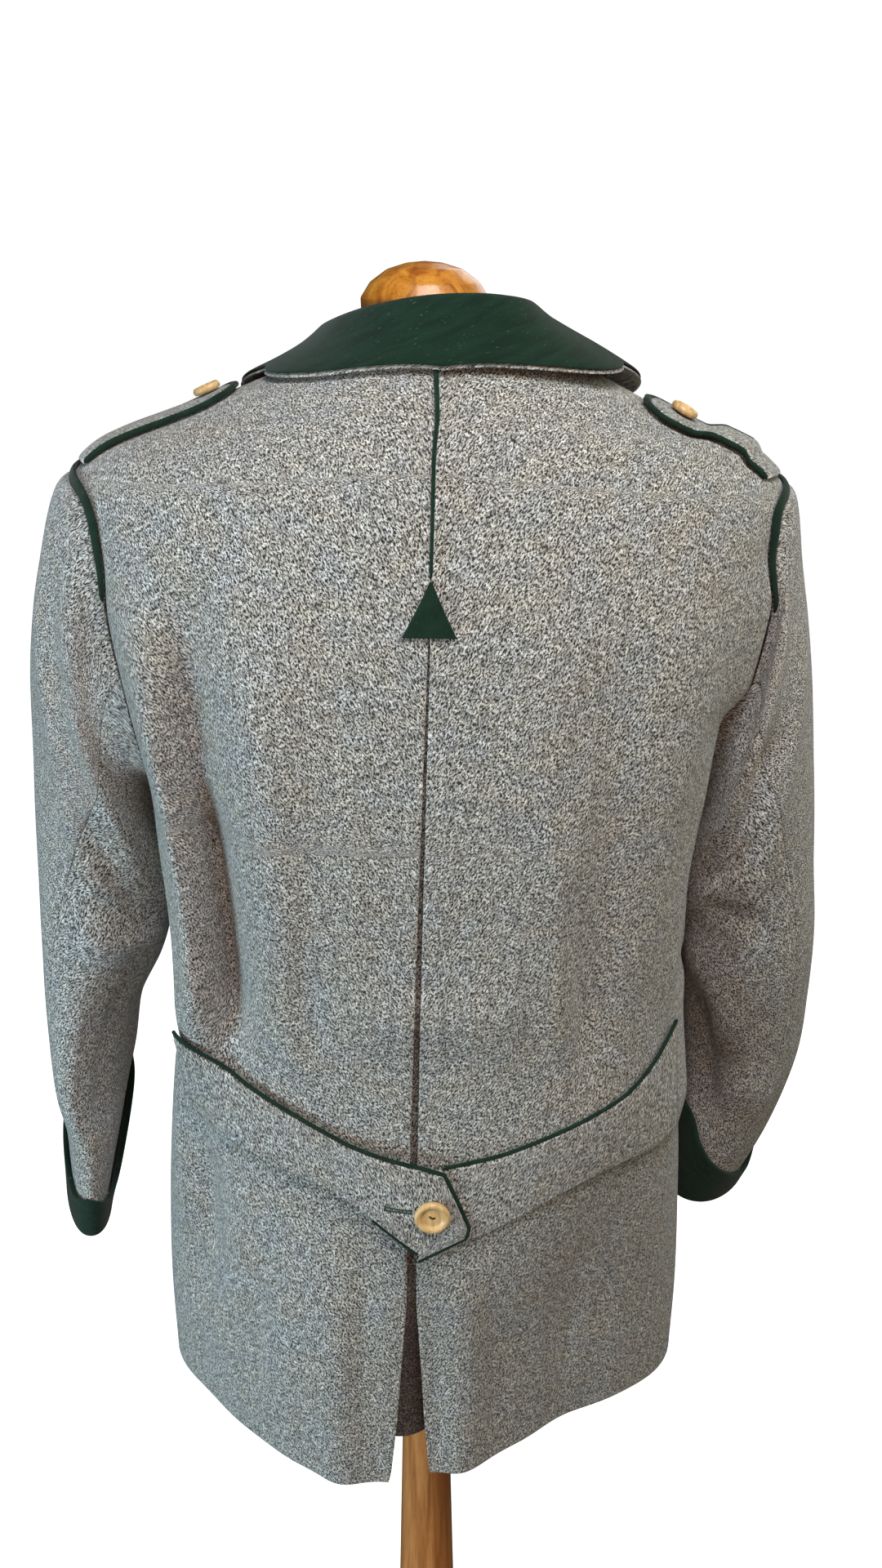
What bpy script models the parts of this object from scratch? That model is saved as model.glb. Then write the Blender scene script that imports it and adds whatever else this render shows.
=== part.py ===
"""A grey loden jacket with bottle-green trimmings, worn by a dress form on a turned wooden stand.

Metres, +Z up. The wearer would face +Y, so the jacket's back faces -Y and +X is the wearer's right.
The origin is on the floor, in the middle of the stand's foot.

The jacket is a body of two backs and two fronts, two-piece sleeves with turned-back cuffs, a collar
of two layers, a half belt in two straps, shoulder straps, flat and corded piping and wooden buttons.
Each piece is a wall of cloth worked out from the sections of the body and of the sleeves.
"""

import math

import bmesh
import bpy
import numpy as np
from mathutils import Matrix

# ---------------------------------------------------------------- driving sizes, in metres

CLOTH = 0.0024  # thickness of one layer of loden
SEAM_GAP = 0.0003  # between pieces that are sewn together
STRAP = 0.003  # thickness of a strap, which is two layers pressed flat
STRAP_LIFT = 0.0020  # from the cloth to a shoulder strap
BELT_LIFT = 0.0030  # and to the half belt, which lies over folds

ARMHOLE_LOW, ARMHOLE_TOP = 6.1, 9.0  # section numbers of the underarm and of the shoulder tip
# The armhole's half width in degrees round the body, from its lowest point up to its top.
ARMHOLE_BACK = {
    -1: (0, 14.5, 19.5, 18.0, 20.3, 15.5, 0),
    1: (0, 8.0, 13.0, 14.8, 15.5, 13.8, 0),
}
ARMHOLE_FRONT = (0, 15.3, 21.9, 24.0, 21.9, 15.3, 0)
ARMHOLE_STEPS = 18  # points round an armhole, shared by the body and the sleeve
NECK = 11.0  # section number of the neck seam
SIDE_SEAM = math.radians(71)  # angle of the side seam from the centre back, below the waist

OVERLAP = 0.020  # how far each front runs past the centre front
LEAN = 0.010  # the jacket hangs a little over to one side, as a slope
NECK_ASIDE = 0.0075  # the neck sits to the wearer's right of the form's middle
SHOULDER_DROP = 0.020  # and the wearer's right shoulder is lower, as a slope
# The centre back seam wanders: its angle round the body at each of these section numbers.
CENTRE_BACK = {0: -3.8, 3: -3.0, 9: 1.2, 9.5: 0.2, 10: -2.2, 11: -3.5}

BUTTON_RADIUS = 0.012
BELT_BUTTON_ANGLE, BELT_BUTTON_HEIGHT = 2.4, 0.9075
SMALL_BUTTON_RADIUS = 0.009

# How far each cuff reaches above the sleeve's end, at eight turns round the sleeve from its back.
CUFF_HEIGHTS = {
    -1: (0.0255, 0.025, 0.052, 0.085, 0.092, 0.070, 0.024, 0.0170),
    1: (0.046, 0.023, 0.014, 0.040, 0.080, 0.096, 0.100, 0.084),
}
CUFF_SECTION = 0.058  # metres of sleeve that one section number stands for near its end
CUFF_LIFT = 0.0020
CUFF_GAPE = {-1: 0.006, 1: 0.001}  # how far each cuff's upper edge stands off, most at the turn below
CUFF_GAPE_TURN = math.radians(235)

# Half the gap between the two backs, where the pleat parts below the triangle and the vent hangs open.
PLEAT_GAP = {
    0: 0.0160, 0.1: 0.0140, 0.65: 0.0096, 1.2: 0.0066, 1.55: 0.0046,
    1.9: 0.0028, 2.5: 0.0023, 4.5: 0.0011, 7.4: 0.0, 11: 0.0,
}

COLLAR_STAND = {"back": 0.018, "front": 0.014}
COLLAR_LEAN = 0.017  # how far the stand leans in to the neck at its sides
COLLAR_LEAN_MORE = 0.5  # on the wearer's right by this share more, and as much less on the left
COLLAR_SPREAD = 0.94  # the fall's points swing this far back from the centre front
# The collar's outer edge, at angles round the neck: a section number and its height off the cloth.
COLLAR_EDGE = {
    -180: (9.55, 0.006), -130: (9.95, 0.006), -90: (10.60, 0.005), -45: (10.34, 0.005),
    0: (10.12, 0.006), 45: (10.40, 0.009), 90: (10.60, 0.012), 130: (9.95, 0.009), 180: (9.55, 0.006),
}
COLLAR_TILT = 0.08  # the fold rises to the wearer's right
COLLAR_BULGE = 0.001  # how far the fall swells at the sides

CORD_GAP = 0.0004
BELT_CORD = 0.0026
EPAULETTE_CORD = 0.0045
STRAP_CORD_GAP = 0.00064
EPAULETTE_HALF = 0.025
EPAULETTE_TIP = {-1: 10.34, 1: 10.28}  # section number of each strap's tip
EPAULETTE_BUTTON = {-1: 0.16, 1: 0.26}  # how far back from its tip each strap's button sits
EPAULETTE_BACK = {-1: 0.010, 1: 0.022}  # how far behind the shoulder's crest each strap's middle lies
STRAP_START = 9.11  # section number where the shoulder straps leave the armhole seam
LEVEL_ON_SHOULDER = 0.085  # metres of shoulder from one section to the next
ARMHOLE_PIPING = 0.0080
PIPING_POINT = 0.0012  # its width where it runs out in the seam
PIPING_THICK = 0.0020
PIPING_LIFT = 0.0042  # from the cloth to its middle
PIPING_TURNS = (14, 165)  # degrees round the armhole, from the back over the shoulder

FRONT_BUTTONS = 5
FRONT_BUTTON_HEIGHTS = (0.92, 1.33)

SIDES = {-1: "left", 1: "right"}  # the wearer's left is at -X

MATERIALS = {
    "loden_grey": ((0.25, 0.25, 0.235), 0.95),
    "felt_green": ((0.012, 0.034, 0.020), 0.9),
    "button_wood": ((0.72, 0.55, 0.34), 0.45),
    "form_cover": ((0.62, 0.57, 0.49), 0.9),
    "cap_wood": ((0.62, 0.30, 0.06), 0.35),
    "column_wood": ((0.36, 0.13, 0.035), 0.4),
}

# ---------------------------------------------------------------- the body, section by section

BODY_COLUMNS = (
    "z_back", "z_side", "z_front",
    "half_width", "back_depth", "front_depth", "centre_y", "squareness",
)
BODY_SECTIONS = {
    "hem": (0.663, 0.684, 0.668, 0.1925, 0.128, 0.138, 0.0, 1.80),
    "skirt": (0.746, 0.760, 0.750, 0.1935, 0.131, 0.140, 0.0, 1.95),
    "seat": (0.830, 0.838, 0.835, 0.190, 0.135, 0.139, 0.0, 2.10),
    "belt": (0.915, 0.917, 0.920, 0.1835, 0.136, 0.136, 0.0, 2.30),
    "waist": (0.995, 0.997, 1.000, 0.175, 0.137, 0.133, 0.0, 2.45),
    "ribs": (1.075, 1.077, 1.080, 0.172, 0.143, 0.137, 0.0, 2.50),
    "underarm": (1.150, 1.152, 1.155, 0.178, 0.148, 0.143, 0.0, 2.60),
    "blade": (1.225, 1.225, 1.228, 0.194, 0.149, 0.143, 0.0, 2.60),
    "yoke": (1.300, 1.297, 1.292, 0.211, 0.142, 0.132, 0.0, 2.50),
    "tip": (1.378, 1.361, 1.342, 0.223, 0.119, 0.108, 0.0, 2.20),
    "shoulder": (1.425, 1.397, 1.370, 0.155, 0.092, 0.090, 0.004, 2.10),
    "neck": (1.448, 1.434, 1.378, 0.076, 0.076, 0.076, 0.010, 2.00),
}

BACK_RADIUS = 0.14  # metres a radian round the middle of the back
BODY_AROUND, BODY_ALONG = 0.17, 0.077  # metres a radian round the body, and a section up it

# Soft folds of the body: a line from one place to another, given as an angle round the body from
# the centre back (the wearer's left is negative) and a section number, with its height and width.
FOLD_COLUMNS = ("angle_1", "level_1", "angle_2", "level_2", "height", "half_width")
BODY_FOLDS = {
    "left blade ridge": (-37, 8.1, -34, 4.1, 0.0070, 0.018),
    "left side ridge": (-70, 6.2, -67, 4.0, 0.0040, 0.015),
    "left skirt trough": (-60, 3.8, -67, 1.2, -0.0080, 0.022),
    "left hem trough": (-69, 2.2, -71, 0.0, -0.0048, 0.033),
    "left skirt ridge": (-38, 3.2, -38, 0.0, 0.0059, 0.034),
    "left hem ridge": (-26, 2.6, -25, 0.0, 0.0095, 0.023),
    "vent hollow": (1, 2.2, 4, 0.0, -0.0100, 0.022),
    "left waist hollow": (-86, 6.2, -86, 3.7, -0.0115, 0.026),
    "right blade ridge": (54, 8.2, 58, 4.6, 0.0060, 0.022),
    "right blade trough": (39, 8.1, 43, 3.9, -0.0060, 0.015),
    "right inner ridge": (29, 6.6, 33, 4.3, 0.0035, 0.016),
    "right side ridge": (68, 6.8, 67, 4.2, 0.0065, 0.018),
    "right skirt trough": (50, 3.2, 50, 0.0, -0.0232, 0.050),
    "right hem trough": (26, 2.6, 27, 0.0, -0.0127, 0.040),
    "right side trough": (78, 2.4, 70, 0.0, -0.0050, 0.030),
    "right hip ridge": (84, 4.4, 82, 2.9, 0.0070, 0.034),
    "left front ridge": (-112, 7.4, -118, 2.0, 0.0050, 0.022),
    "right front ridge": (114, 7.2, 120, 1.4, 0.0055, 0.022),
    "left front trough": (-132, 2.8, -134, 0.0, -0.0060, 0.024),
    "right front trough": (136, 2.6, 138, 0.0, -0.0060, 0.024),
    "right shoulder ridge": (90, 9.75, 90, 9.35, 0.0042, 0.100),
    "right waist swell": (82, 5.5, 82, 4.5, 0.0035, 0.030),
    "right yoke ridge": (78, 8.3, 76, 7.0, 0.0120, 0.028),
    "small of the back": (-22, 4.6, 24, 4.6, 0.0050, 0.022),
}

# Folds that stand straight out behind, given in the same way.
BACK_FOLDS = {
    "left fullness": (-63, 8.3, -65, 3.6, 0.0220, 0.034),
    "left blade trough": (-49.5, 8.1, -49, 4.05, -0.0190, 0.0135),
    "left outer ridge": (-60, 7.8, -61, 4.2, 0.0090, 0.012),
    "left belt pocket": (-48.5, 6.4, -48.5, 4.25, -0.0130, 0.012),
    "left blade swell": (-33, 8.0, -30, 5.0, 0.0060, 0.022),
    "left skirt pocket": (-60, 2.9, -61, 1.9, -0.0100, 0.014),
    "left hip ridge": (-73, 2.9, -73, 1.9, 0.0050, 0.014),
}

# The half belt's edges as heights, at angles round the body. The two straps hang unalike.
BELT_START = {-1: 66.5, 1: 70.0}  # the left strap starts a little behind its seam
BELT_ANGLES = (0, 20, 36, 52, 62, 71)
BELT_TOP = {
    -1: (0.939, 0.953, 0.974, 0.994, 1.006, 1.010),
    1: (0.934, 0.944, 0.957, 0.971, 0.987, 1.004),
}
BELT_BOTTOM = {
    -1: (0.876, 0.912, 0.930, 0.942, 0.948, 0.948),
    1: (0.873, 0.891, 0.909, 0.918, 0.917, 0.920),
}
# The buttoned end of the left strap, from its top corner round to its lowest: an angle and a height.
BELT_TAB = ((5.2, 0.9347), (8.7, 0.9150), (11.8, 0.8957), (11.2, 0.8892), (5.0, 0.8815), (-1.6, 0.8732))

# ---------------------------------------------------------------- the sleeves, section by section

# x is measured outwards. tilt is how far the section leans from level, and half_out runs up and out
# along that slope; half_deep runs from front to back. turn swings the section's back outwards.
SLEEVE_COLUMNS = ("x", "y", "z", "half_out", "half_deep", "tilt", "turn")
SLEEVE_SECTIONS = {
    -1: {
        "armhole": (0.2040, 0.000, 1.2590, 0.106, 0.068, 76, 0),
        "cap": (0.2120, 0.001, 1.2520, 0.104, 0.072, 74, 0),
        "upper arm": (0.2155, 0.003, 1.2180, 0.095, 0.072, 70, 0),
        "biceps": (0.2170, 0.005, 1.1760, 0.083, 0.070, 60, 0),
        "above elbow": (0.2190, 0.008, 1.1280, 0.067, 0.067, 48, 0),
        "elbow": (0.2240, 0.012, 1.0780, 0.0525, 0.064, 32, 2),
        "below elbow": (0.2310, 0.017, 1.0280, 0.0425, 0.064, 18, 4),
        "forearm": (0.2415, 0.022, 0.9780, 0.0315, 0.065, 8, 4),
        "lower forearm": (0.2465, 0.027, 0.9200, 0.0245, 0.0665, 2, 4),
        "wrist": (0.2520, 0.032, 0.8730, 0.0205, 0.0650, 0, -7),
        "sleeve end": (0.2630, 0.036, 0.8040, 0.0132, 0.0645, 0, -14),
    },
    1: {
        "armhole": (0.2040, 0.000, 1.2590, 0.106, 0.068, 76, 0),
        "cap": (0.2110, 0.001, 1.2520, 0.104, 0.072, 74, 0),
        "upper arm": (0.2145, 0.003, 1.2150, 0.093, 0.072, 70, 0),
        "biceps": (0.2168, 0.005, 1.1720, 0.080, 0.070, 60, 0),
        "above elbow": (0.2210, 0.009, 1.1230, 0.066, 0.067, 48, 0),
        "elbow": (0.2270, 0.016, 1.0730, 0.0540, 0.063, 32, 0),
        "below elbow": (0.2345, 0.026, 1.0200, 0.0500, 0.061, 22, -2),
        "forearm": (0.2390, 0.040, 0.9680, 0.0470, 0.0600, 14, -7),
        "lower forearm": (0.2410, 0.054, 0.9150, 0.0440, 0.0597, 7, -12),
        "wrist": (0.2350, 0.068, 0.8540, 0.0373, 0.0596, 2, -15),
        "sleeve end": (0.2245, 0.081, 0.7990, 0.0295, 0.0590, 0, -17),
    },
}
SLEEVE_INSET = 0.033  # how much smaller than the armhole a sleeve starts, as a share
SLEEVE_LAST = 10
SLEEVE_AROUND, SLEEVE_ALONG = 0.06, 0.055  # metres a radian round a sleeve, and a section along it
# Angles round a sleeve run from its back (0) over its outer side (90) to its front (180).
HIND_SEAM = {  # at each section
    -1: (-12, -16, -18, -11, 6, 20, 32, 36, 33, 28, 24),
    1: (-13, -10, -3, 7, 17, 29, 36, 37, 33, 28, 24),
}
FRONT_SEAM = (200, 205, 212, 218, 222, 225, 226, 226, 225, 224, 224)
SLEEVE_FOLDS = {
    -1: {
        "shoulder drag": (35, 0.8, -40, 3.6, 0.0050, 0.014),
        "second drag": (62, 1.4, -8, 4.6, 0.0040, 0.014),
        "elbow hollow": (20, 3.4, -50, 4.8, -0.0050, 0.016),
        "elbow ridge": (10, 5.6, -70, 5.2, 0.0045, 0.014),
        "forearm hollow": (-50, 5.8, -40, 8.6, -0.0040, 0.012),
        "front break": (150, 4.6, 215, 5.2, -0.0050, 0.014),
    },
    1: {
        "shoulder drag": (30, 1.0, -35, 3.2, 0.0045, 0.014),
        "armpit hollow": (12, 2.4, -40, 4.0, -0.0060, 0.016),
        "second drag": (50, 2.2, -10, 4.8, 0.0040, 0.014),
        "elbow ridge": (-8, 7.4, -66, 5.2, 0.0050, 0.020),
        "forearm hollow": (-64, 6.0, -22, 8.7, -0.0090, 0.017),
        "forearm ridge": (-4, 7.9, 40, 8.4, 0.0030, 0.016),
        "front break": (150, 4.8, 215, 5.4, -0.0050, 0.014),
    },
}

# ---------------------------------------------------------------- the dress form and its stand

FORM_COLUMNS = ("z", "half_width", "back_depth", "front_depth", "centre_y", "squareness")
FORM_SECTIONS = {
    "foot": (0.7350, 0.142, 0.090, 0.096, 0.0, 2.2),
    "hips": (0.8000, 0.152, 0.100, 0.104, 0.0, 2.2),
    "seat": (0.8700, 0.148, 0.102, 0.103, 0.0, 2.2),
    "waist": (0.9850, 0.128, 0.090, 0.094, 0.0, 2.2),
    "ribs": (1.0800, 0.138, 0.100, 0.108, 0.0, 2.2),
    "chest": (1.1800, 0.154, 0.112, 0.120, 0.0, 2.2),
    "blades": (1.2600, 0.164, 0.112, 0.114, 0.0, 2.2),
    "shoulders": (1.3200, 0.176, 0.098, 0.098, 0.0, 2.1),
    "shoulder ends": (1.3550, 0.172, 0.078, 0.076, 0.0, 2.0),
    "slope": (1.3830, 0.138, 0.066, 0.062, 0.0, 2.0),
    "neck root": (1.4050, 0.088, 0.055, 0.055, 0.004, 2.0),
    "throat": (1.4250, 0.052, 0.047, 0.050, 0.003, 2.0),
    "neck top": (1.4535, 0.043, 0.043, 0.043, 0.0, 2.0),
}
FORM_STEPS_ROUND = 20
FORM_RINGS = 17
NECK_CENTRE_X = 0.002

FOOT_RADIUS, FOOT_HEIGHT = 0.180, 0.030
FOOT_PROFILE = (
    (0.000, 0.0560), (0.034, 0.0560), (0.040, 0.0520), (0.042, 0.0420), (0.052, 0.0340),
    (0.150, FOOT_HEIGHT), (0.172, 0.0240), (FOOT_RADIUS, 0.0140), (0.176, 0.0), (0.0, 0.0),
)
COLUMN_PROFILE = (
    (0.0, 0.7346), (0.0165, 0.7346), (0.0175, 0.7300), (0.0188, 0.6000), (0.0222, 0.4500),
    (0.0262, 0.3000), (0.0276, 0.2200), (0.0250, 0.1500), (0.0200, 0.1050), (0.0190, 0.0920),
    (0.0260, 0.0850), (0.0300, 0.0740), (0.0290, 0.0600), (0.0270, 0.0563), (0.0, 0.0563),
)
CAP_PROFILE = (
    (0.0, 1.4892), (0.0110, 1.4882), (0.0230, 1.4846), (0.0335, 1.4772), (0.0395, 1.4680),
    (0.0392, 1.4610), (0.0360, 1.4538), (0.0, 1.4538),
)


# ================================================================ working out points


def smooth_curve(before, start, end, after, part):
    """The value at `part` of the way from start to end, on a curve through all four."""
    return 0.5 * (
        2 * start
        + (end - before) * part
        + (2 * before - 5 * start + 4 * end - after) * part**2
        + (3 * start - before - 3 * end + after) * part**3
    )


def smooth_columns(columns, sections, at):
    """Every column of a table of sections, read off a smooth curve at the section numbers `at`."""
    rows = np.array(list(sections.values()), float)
    rows = np.vstack([2 * rows[0] - rows[1], rows, 2 * rows[-1] - rows[-2]])
    last = len(sections) - 1
    at = np.clip(np.asarray(at, float), 0, last)
    low = np.minimum(at.astype(int), last - 1)
    part = (at - low)[..., None]
    curve = smooth_curve(*(rows[low + step] for step in range(4)), part)
    return dict(zip(columns, np.moveaxis(curve, -1, 0)))


def smooth_step(value):
    value = np.clip(value, 0, 1)
    return value * value * (3 - 2 * value)


def unit(vectors):
    return vectors / np.maximum(np.linalg.norm(vectors, axis=-1, keepdims=True), 1e-12)


def section_reach(angle, width, depth, squareness):
    """How far a rounded section reaches from its middle in the direction `angle` from the back."""
    across, along = np.abs(np.sin(angle)) / width, np.abs(np.cos(angle)) / depth
    return (across**squareness + along**squareness) ** (-1 / squareness)


def fold_height(folds, angle, level, round_size, level_size):
    """How far the soft folds of a table lift the cloth at an angle (in radians) and a section number."""
    here = np.stack(np.broadcast_arrays(angle * round_size, level * level_size), -1)
    lift = np.zeros(here.shape[:-1])
    for angle_1, level_1, angle_2, level_2, height, half_width in folds.values():
        start = np.array([math.radians(angle_1) * round_size, level_1 * level_size])
        run = np.array([math.radians(angle_2) * round_size, level_2 * level_size]) - start
        along = ((here - start) @ run) / (run @ run)
        away = np.linalg.norm(here - start - np.clip(along, 0, 1)[..., None] * run, axis=-1)
        fade = smooth_step((along + 0.12) / 0.4) * smooth_step((1.12 - along) / 0.3)
        if level_2 == 0:  # a fold that runs out through the hem is deepest there
            fade = smooth_step((along + 0.12) / 0.8)
        lift = lift + height * fade * np.exp(-((away / half_width) ** 2))
    return lift


def body_section_point(angle, level):
    """A point of the body without its folds; angle 0 is the centre back, + the wearer's right."""
    size = smooth_columns(BODY_COLUMNS, BODY_SECTIONS, level)
    behind = np.cos(angle) > 0
    depth = np.where(behind, size["back_depth"], size["front_depth"])
    reach = section_reach(angle, size["half_width"], depth, size["squareness"])
    end_z = np.where(behind, size["z_back"], size["z_front"])
    z = size["z_side"] + (end_z - size["z_side"]) * np.cos(angle) ** 2
    return np.stack([reach * np.sin(angle), size["centre_y"] - reach * np.cos(angle), z], -1)


def body_normal(angle, level):
    step = 1e-3
    level = np.clip(level, step, NECK - step)
    round_it = body_section_point(angle + step, level) - body_section_point(angle - step, level)
    up = body_section_point(angle, level + step) - body_section_point(angle, level - step)
    return unit(np.cross(round_it, up))


def hung(points):
    """The body leans a little: the top goes over to the wearer's right, and that shoulder drops."""
    x, y, z = np.moveaxis(points, -1, 0)
    drop = SHOULDER_DROP * smooth_step((z - 0.95) / 0.35)
    aside = LEAN * (z - 0.85) + NECK_ASIDE * smooth_step((z - 1.375) / 0.06)
    return np.stack([x + aside, y, z - drop * x], -1)


def body(angle, level, lift=0.0):
    """A point on the jacket's body, raised by its folds and then by `lift`."""
    angle, level = np.broadcast_arrays(np.asarray(angle, float), np.asarray(level, float))
    raised = lift + fold_height(BODY_FOLDS, angle, level, BODY_AROUND, BODY_ALONG)
    behind = fold_height(BACK_FOLDS, angle, level, BODY_AROUND, BODY_ALONG)
    points = hung(body_section_point(angle, level) + body_normal(angle, level) * raised[..., None])
    return points - behind[..., None] * (0.0, 1.0, 0.0)


def level_at(height):
    """The section number of a height on the body, below the shoulders."""
    heights = [row[1] for row in BODY_SECTIONS.values()]
    return np.interp(height, heights, range(len(heights)))


def side_seam_angle(level):
    return SIDE_SEAM + (math.pi / 2 - SIDE_SEAM) * smooth_step((level - 3.9) / (ARMHOLE_LOW - 3.9))


def armhole_half(widths, up):
    """The armhole's half width at `up`, which runs from -1 at its lowest point to 1 at its top."""
    at = (np.arcsin(np.clip(up, -1, 1)) / math.pi + 0.5) * (len(widths) - 1)
    table = {row: (width,) for row, width in enumerate(widths)}
    return np.radians(smooth_columns(("half",), table, at)["half"])


def armhole(side, turn, grow=0.0):
    """The body's angle and section number at a place round the armhole, 0 at its back, 90 on top."""
    up = np.sin(turn)
    behind, in_front = (armhole_half(widths, up) for widths in (ARMHOLE_BACK[side], ARMHOLE_FRONT))
    across = np.where(np.cos(turn) > 0, behind, -in_front) * (1 + grow)
    middle, tall = (ARMHOLE_LOW + ARMHOLE_TOP) / 2, (ARMHOLE_TOP - ARMHOLE_LOW) / 2
    return math.pi / 2 - across, middle + tall * up * (1 + 0.6 * grow)


def sleeve(side, turn, at, lift=0.0, folded=True):
    """A point on a sleeve: `turn` goes round it, and `at` is the section number from the armhole."""
    turn, at = np.broadcast_arrays(np.asarray(turn, float), np.asarray(at, float))
    size = smooth_columns(SLEEVE_COLUMNS, SLEEVE_SECTIONS[side], at)
    tilt, swing = np.radians(size["tilt"]), np.radians(size["turn"])
    outward = np.stack([side * np.cos(tilt), 0 * tilt, np.sin(tilt)], -1)
    backward = np.stack([0 * tilt, -1 + 0 * tilt, 0 * tilt], -1)
    back_part, out_part = np.cos(turn) * size["half_deep"], np.sin(turn) * size["half_out"]
    relative = (
        (back_part * np.cos(swing) - out_part * np.sin(swing))[..., None] * backward
        + (back_part * np.sin(swing) + out_part * np.cos(swing))[..., None] * outward
    )
    angle, level = armhole(side, turn, -SLEEVE_INSET)
    ring = body(side * angle, level, 0.0004)
    start = SLEEVE_SECTIONS[side]["armhole"]
    ring_middle = np.array([side * start[0], start[1], start[2]])
    middle = np.stack([side * size["x"], size["y"], size["z"]], -1)
    away = smooth_step(at / 2.4)[..., None]
    points = middle + relative * away + (ring - ring_middle) * (1 - away)
    if not folded:
        return points
    from_seam = np.mod(turn + math.pi / 2, 2 * math.pi) - math.pi / 2
    folds = fold_height(SLEEVE_FOLDS[side], from_seam, at, SLEEVE_AROUND, SLEEVE_ALONG)
    raised = lift + folds * smooth_step(at / 0.8)
    return points + sleeve_normal(side, turn, at) * raised[..., None]


def sleeve_normal(side, turn, at):
    """Which way a sleeve's cloth faces, worked out without its folds."""
    step = 1e-3
    at = np.clip(at, step, SLEEVE_LAST - step)
    ahead, behind = (sleeve(side, turn + way * step, at, folded=False) for way in (1, -1))
    below, above = (sleeve(side, turn, at + way * step, folded=False) for way in (1, -1))
    return unit(np.cross(ahead - behind, below - above)) * -side


def centre_back(level):
    return np.radians(np.interp(level, list(CENTRE_BACK), list(CENTRE_BACK.values())))


def pleat_gap(level):
    """Half the angle that the gap between the backs takes up."""
    return np.interp(level, list(PLEAT_GAP), list(PLEAT_GAP.values())) / BACK_RADIUS


def grid_normals(points, closed=False):
    """Which way a grid of points faces, for one with no rule of its own."""
    if closed:
        points = np.concatenate([points[-1:], points, points[:1]])
    normals = unit(np.cross(np.gradient(points, axis=0), np.gradient(points, axis=1)))
    return normals[1:-1] if closed else normals


def drawn_in(points, gap=0.75 * SEAM_GAP):
    """A grid with its edges drawn in, so that its seams keep clear of the next pieces."""
    points = points.copy()
    for edge, inside in ((0, 1), (-1, -2)):
        points[edge] += unit(points[inside] - points[edge]) * gap
        points[:, edge] += unit(points[:, inside] - points[:, edge]) * gap
    return points


# ================================================================ making solids


def colour_of(slot):
    """A plain material for each kind of cloth or wood."""
    colour, roughness = MATERIALS[slot]
    made = bpy.data.materials.get(slot)
    if made is None:
        made = bpy.data.materials.new(slot)
        made.use_nodes = True
        shader = made.node_tree.nodes["Principled BSDF"]
        shader.inputs["Base Color"].default_value = (*colour, 1)
        shader.inputs["Roughness"].default_value = roughness
        shader.inputs["Metallic"].default_value = 0.0
    return made


def add_object(name, slot, mesh):
    for polygon in mesh.polygons:
        polygon.use_smooth = True
    mesh.materials.append(colour_of(slot))
    made = bpy.data.objects.new(name, mesh)
    jacket_collection.objects.link(made)
    return made


def add_solid(name, slot, vertices, faces):
    """A solid from its corners and faces, turned to face outwards."""
    mesh = bpy.data.meshes.new(name)
    mesh.from_pydata([tuple(vertex) for vertex in vertices], [], faces)
    shape = bmesh.new()
    shape.from_mesh(mesh)
    bmesh.ops.recalc_face_normals(shape, faces=shape.faces)
    shape.to_mesh(mesh)
    shape.free()
    return add_object(name, slot, mesh)


def wall(name, slot, outer, inner, closed=False):
    """Cloth between two grids of points. A closed one joins up round the grids' first way."""
    rows, columns = outer.shape[:2]
    count = rows * columns

    def corner(row, column):
        return (row % rows) * columns + column

    quads = [
        [corner(row, column), corner(row + 1, column), corner(row + 1, column + 1), corner(row, column + 1)]
        for row in range(rows if closed else rows - 1)
        for column in range(columns - 1)
    ]
    rims = []
    if closed:
        for column in (0, columns - 1):
            rims += [(corner(row, column), corner(row + 1, column)) for row in range(rows)]
    else:
        for column in (0, columns - 1):
            rims += [(corner(row, column), corner(row + 1, column)) for row in range(rows - 1)]
        for row in (0, rows - 1):
            rims += [(corner(row, column), corner(row, column + 1)) for column in range(columns - 1)]
    faces = quads + [[index + count for index in quad] for quad in quads]
    faces += [[start, end, end + count, start + count] for start, end in rims]
    vertices = np.concatenate([outer.reshape(-1, 3), inner.reshape(-1, 3)])
    return add_solid(name, slot, vertices, faces)


def turned(name, slot, profile, steps, place=None):
    """A round piece: its profile, of radii and heights from the top down, turned about +Z."""
    mesh = bpy.data.meshes.new(name)
    points = [(radius, 0, height) for radius, height in profile]
    mesh.from_pydata(points, [(i, i + 1) for i in range(len(points) - 1)], [])
    made = add_object(name, slot, mesh)
    screw = made.modifiers.new("Turn", "SCREW")
    screw.steps = screw.render_steps = steps
    screw.use_merge_vertices = True
    screw.merge_threshold = 0.00001
    screw.use_smooth_shade = True
    if place is not None:
        made.matrix_world = place
    return made


def body_piece(name, slot, angles, levels, lift=0.0, thickness=CLOTH, draw=True):
    """Cloth on the body: grids of angles and section numbers, from its outer side inwards."""
    outer, inner = body(angles, levels, lift), body(angles, levels, lift - thickness)
    if draw:
        outer, inner = drawn_in(outer), drawn_in(inner)
    return wall(name, slot, outer, inner)


# ================================================================ the pieces


def armhole_levels():
    """Section numbers from the hem to the neck, with one at each point round the armhole."""
    turns = np.radians(np.arange(ARMHOLE_STEPS // 2 + 1) * 360 / ARMHOLE_STEPS - 90)
    ring = armhole(1, turns)[1]
    below = (0, 0.5, 1.1, 1.8, 2.5, 3.2, 3.9, 4.5, 5.05, 5.6)
    return np.concatenate([below, ring, (9.5, 10.0, 10.5, NECK)])


def side_angle(side, level, front):
    """Where a back or a front ends at its side: the side seam, the armhole and the shoulder seam."""
    middle, tall = (ARMHOLE_LOW + ARMHOLE_TOP) / 2, (ARMHOLE_TOP - ARMHOLE_LOW) / 2
    up = (level - middle) / tall
    half = armhole_half(ARMHOLE_FRONT, up) if front else -armhole_half(ARMHOLE_BACK[side], up)
    return np.where(level <= ARMHOLE_LOW, side_seam_angle(level), math.pi / 2 + half)


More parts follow.
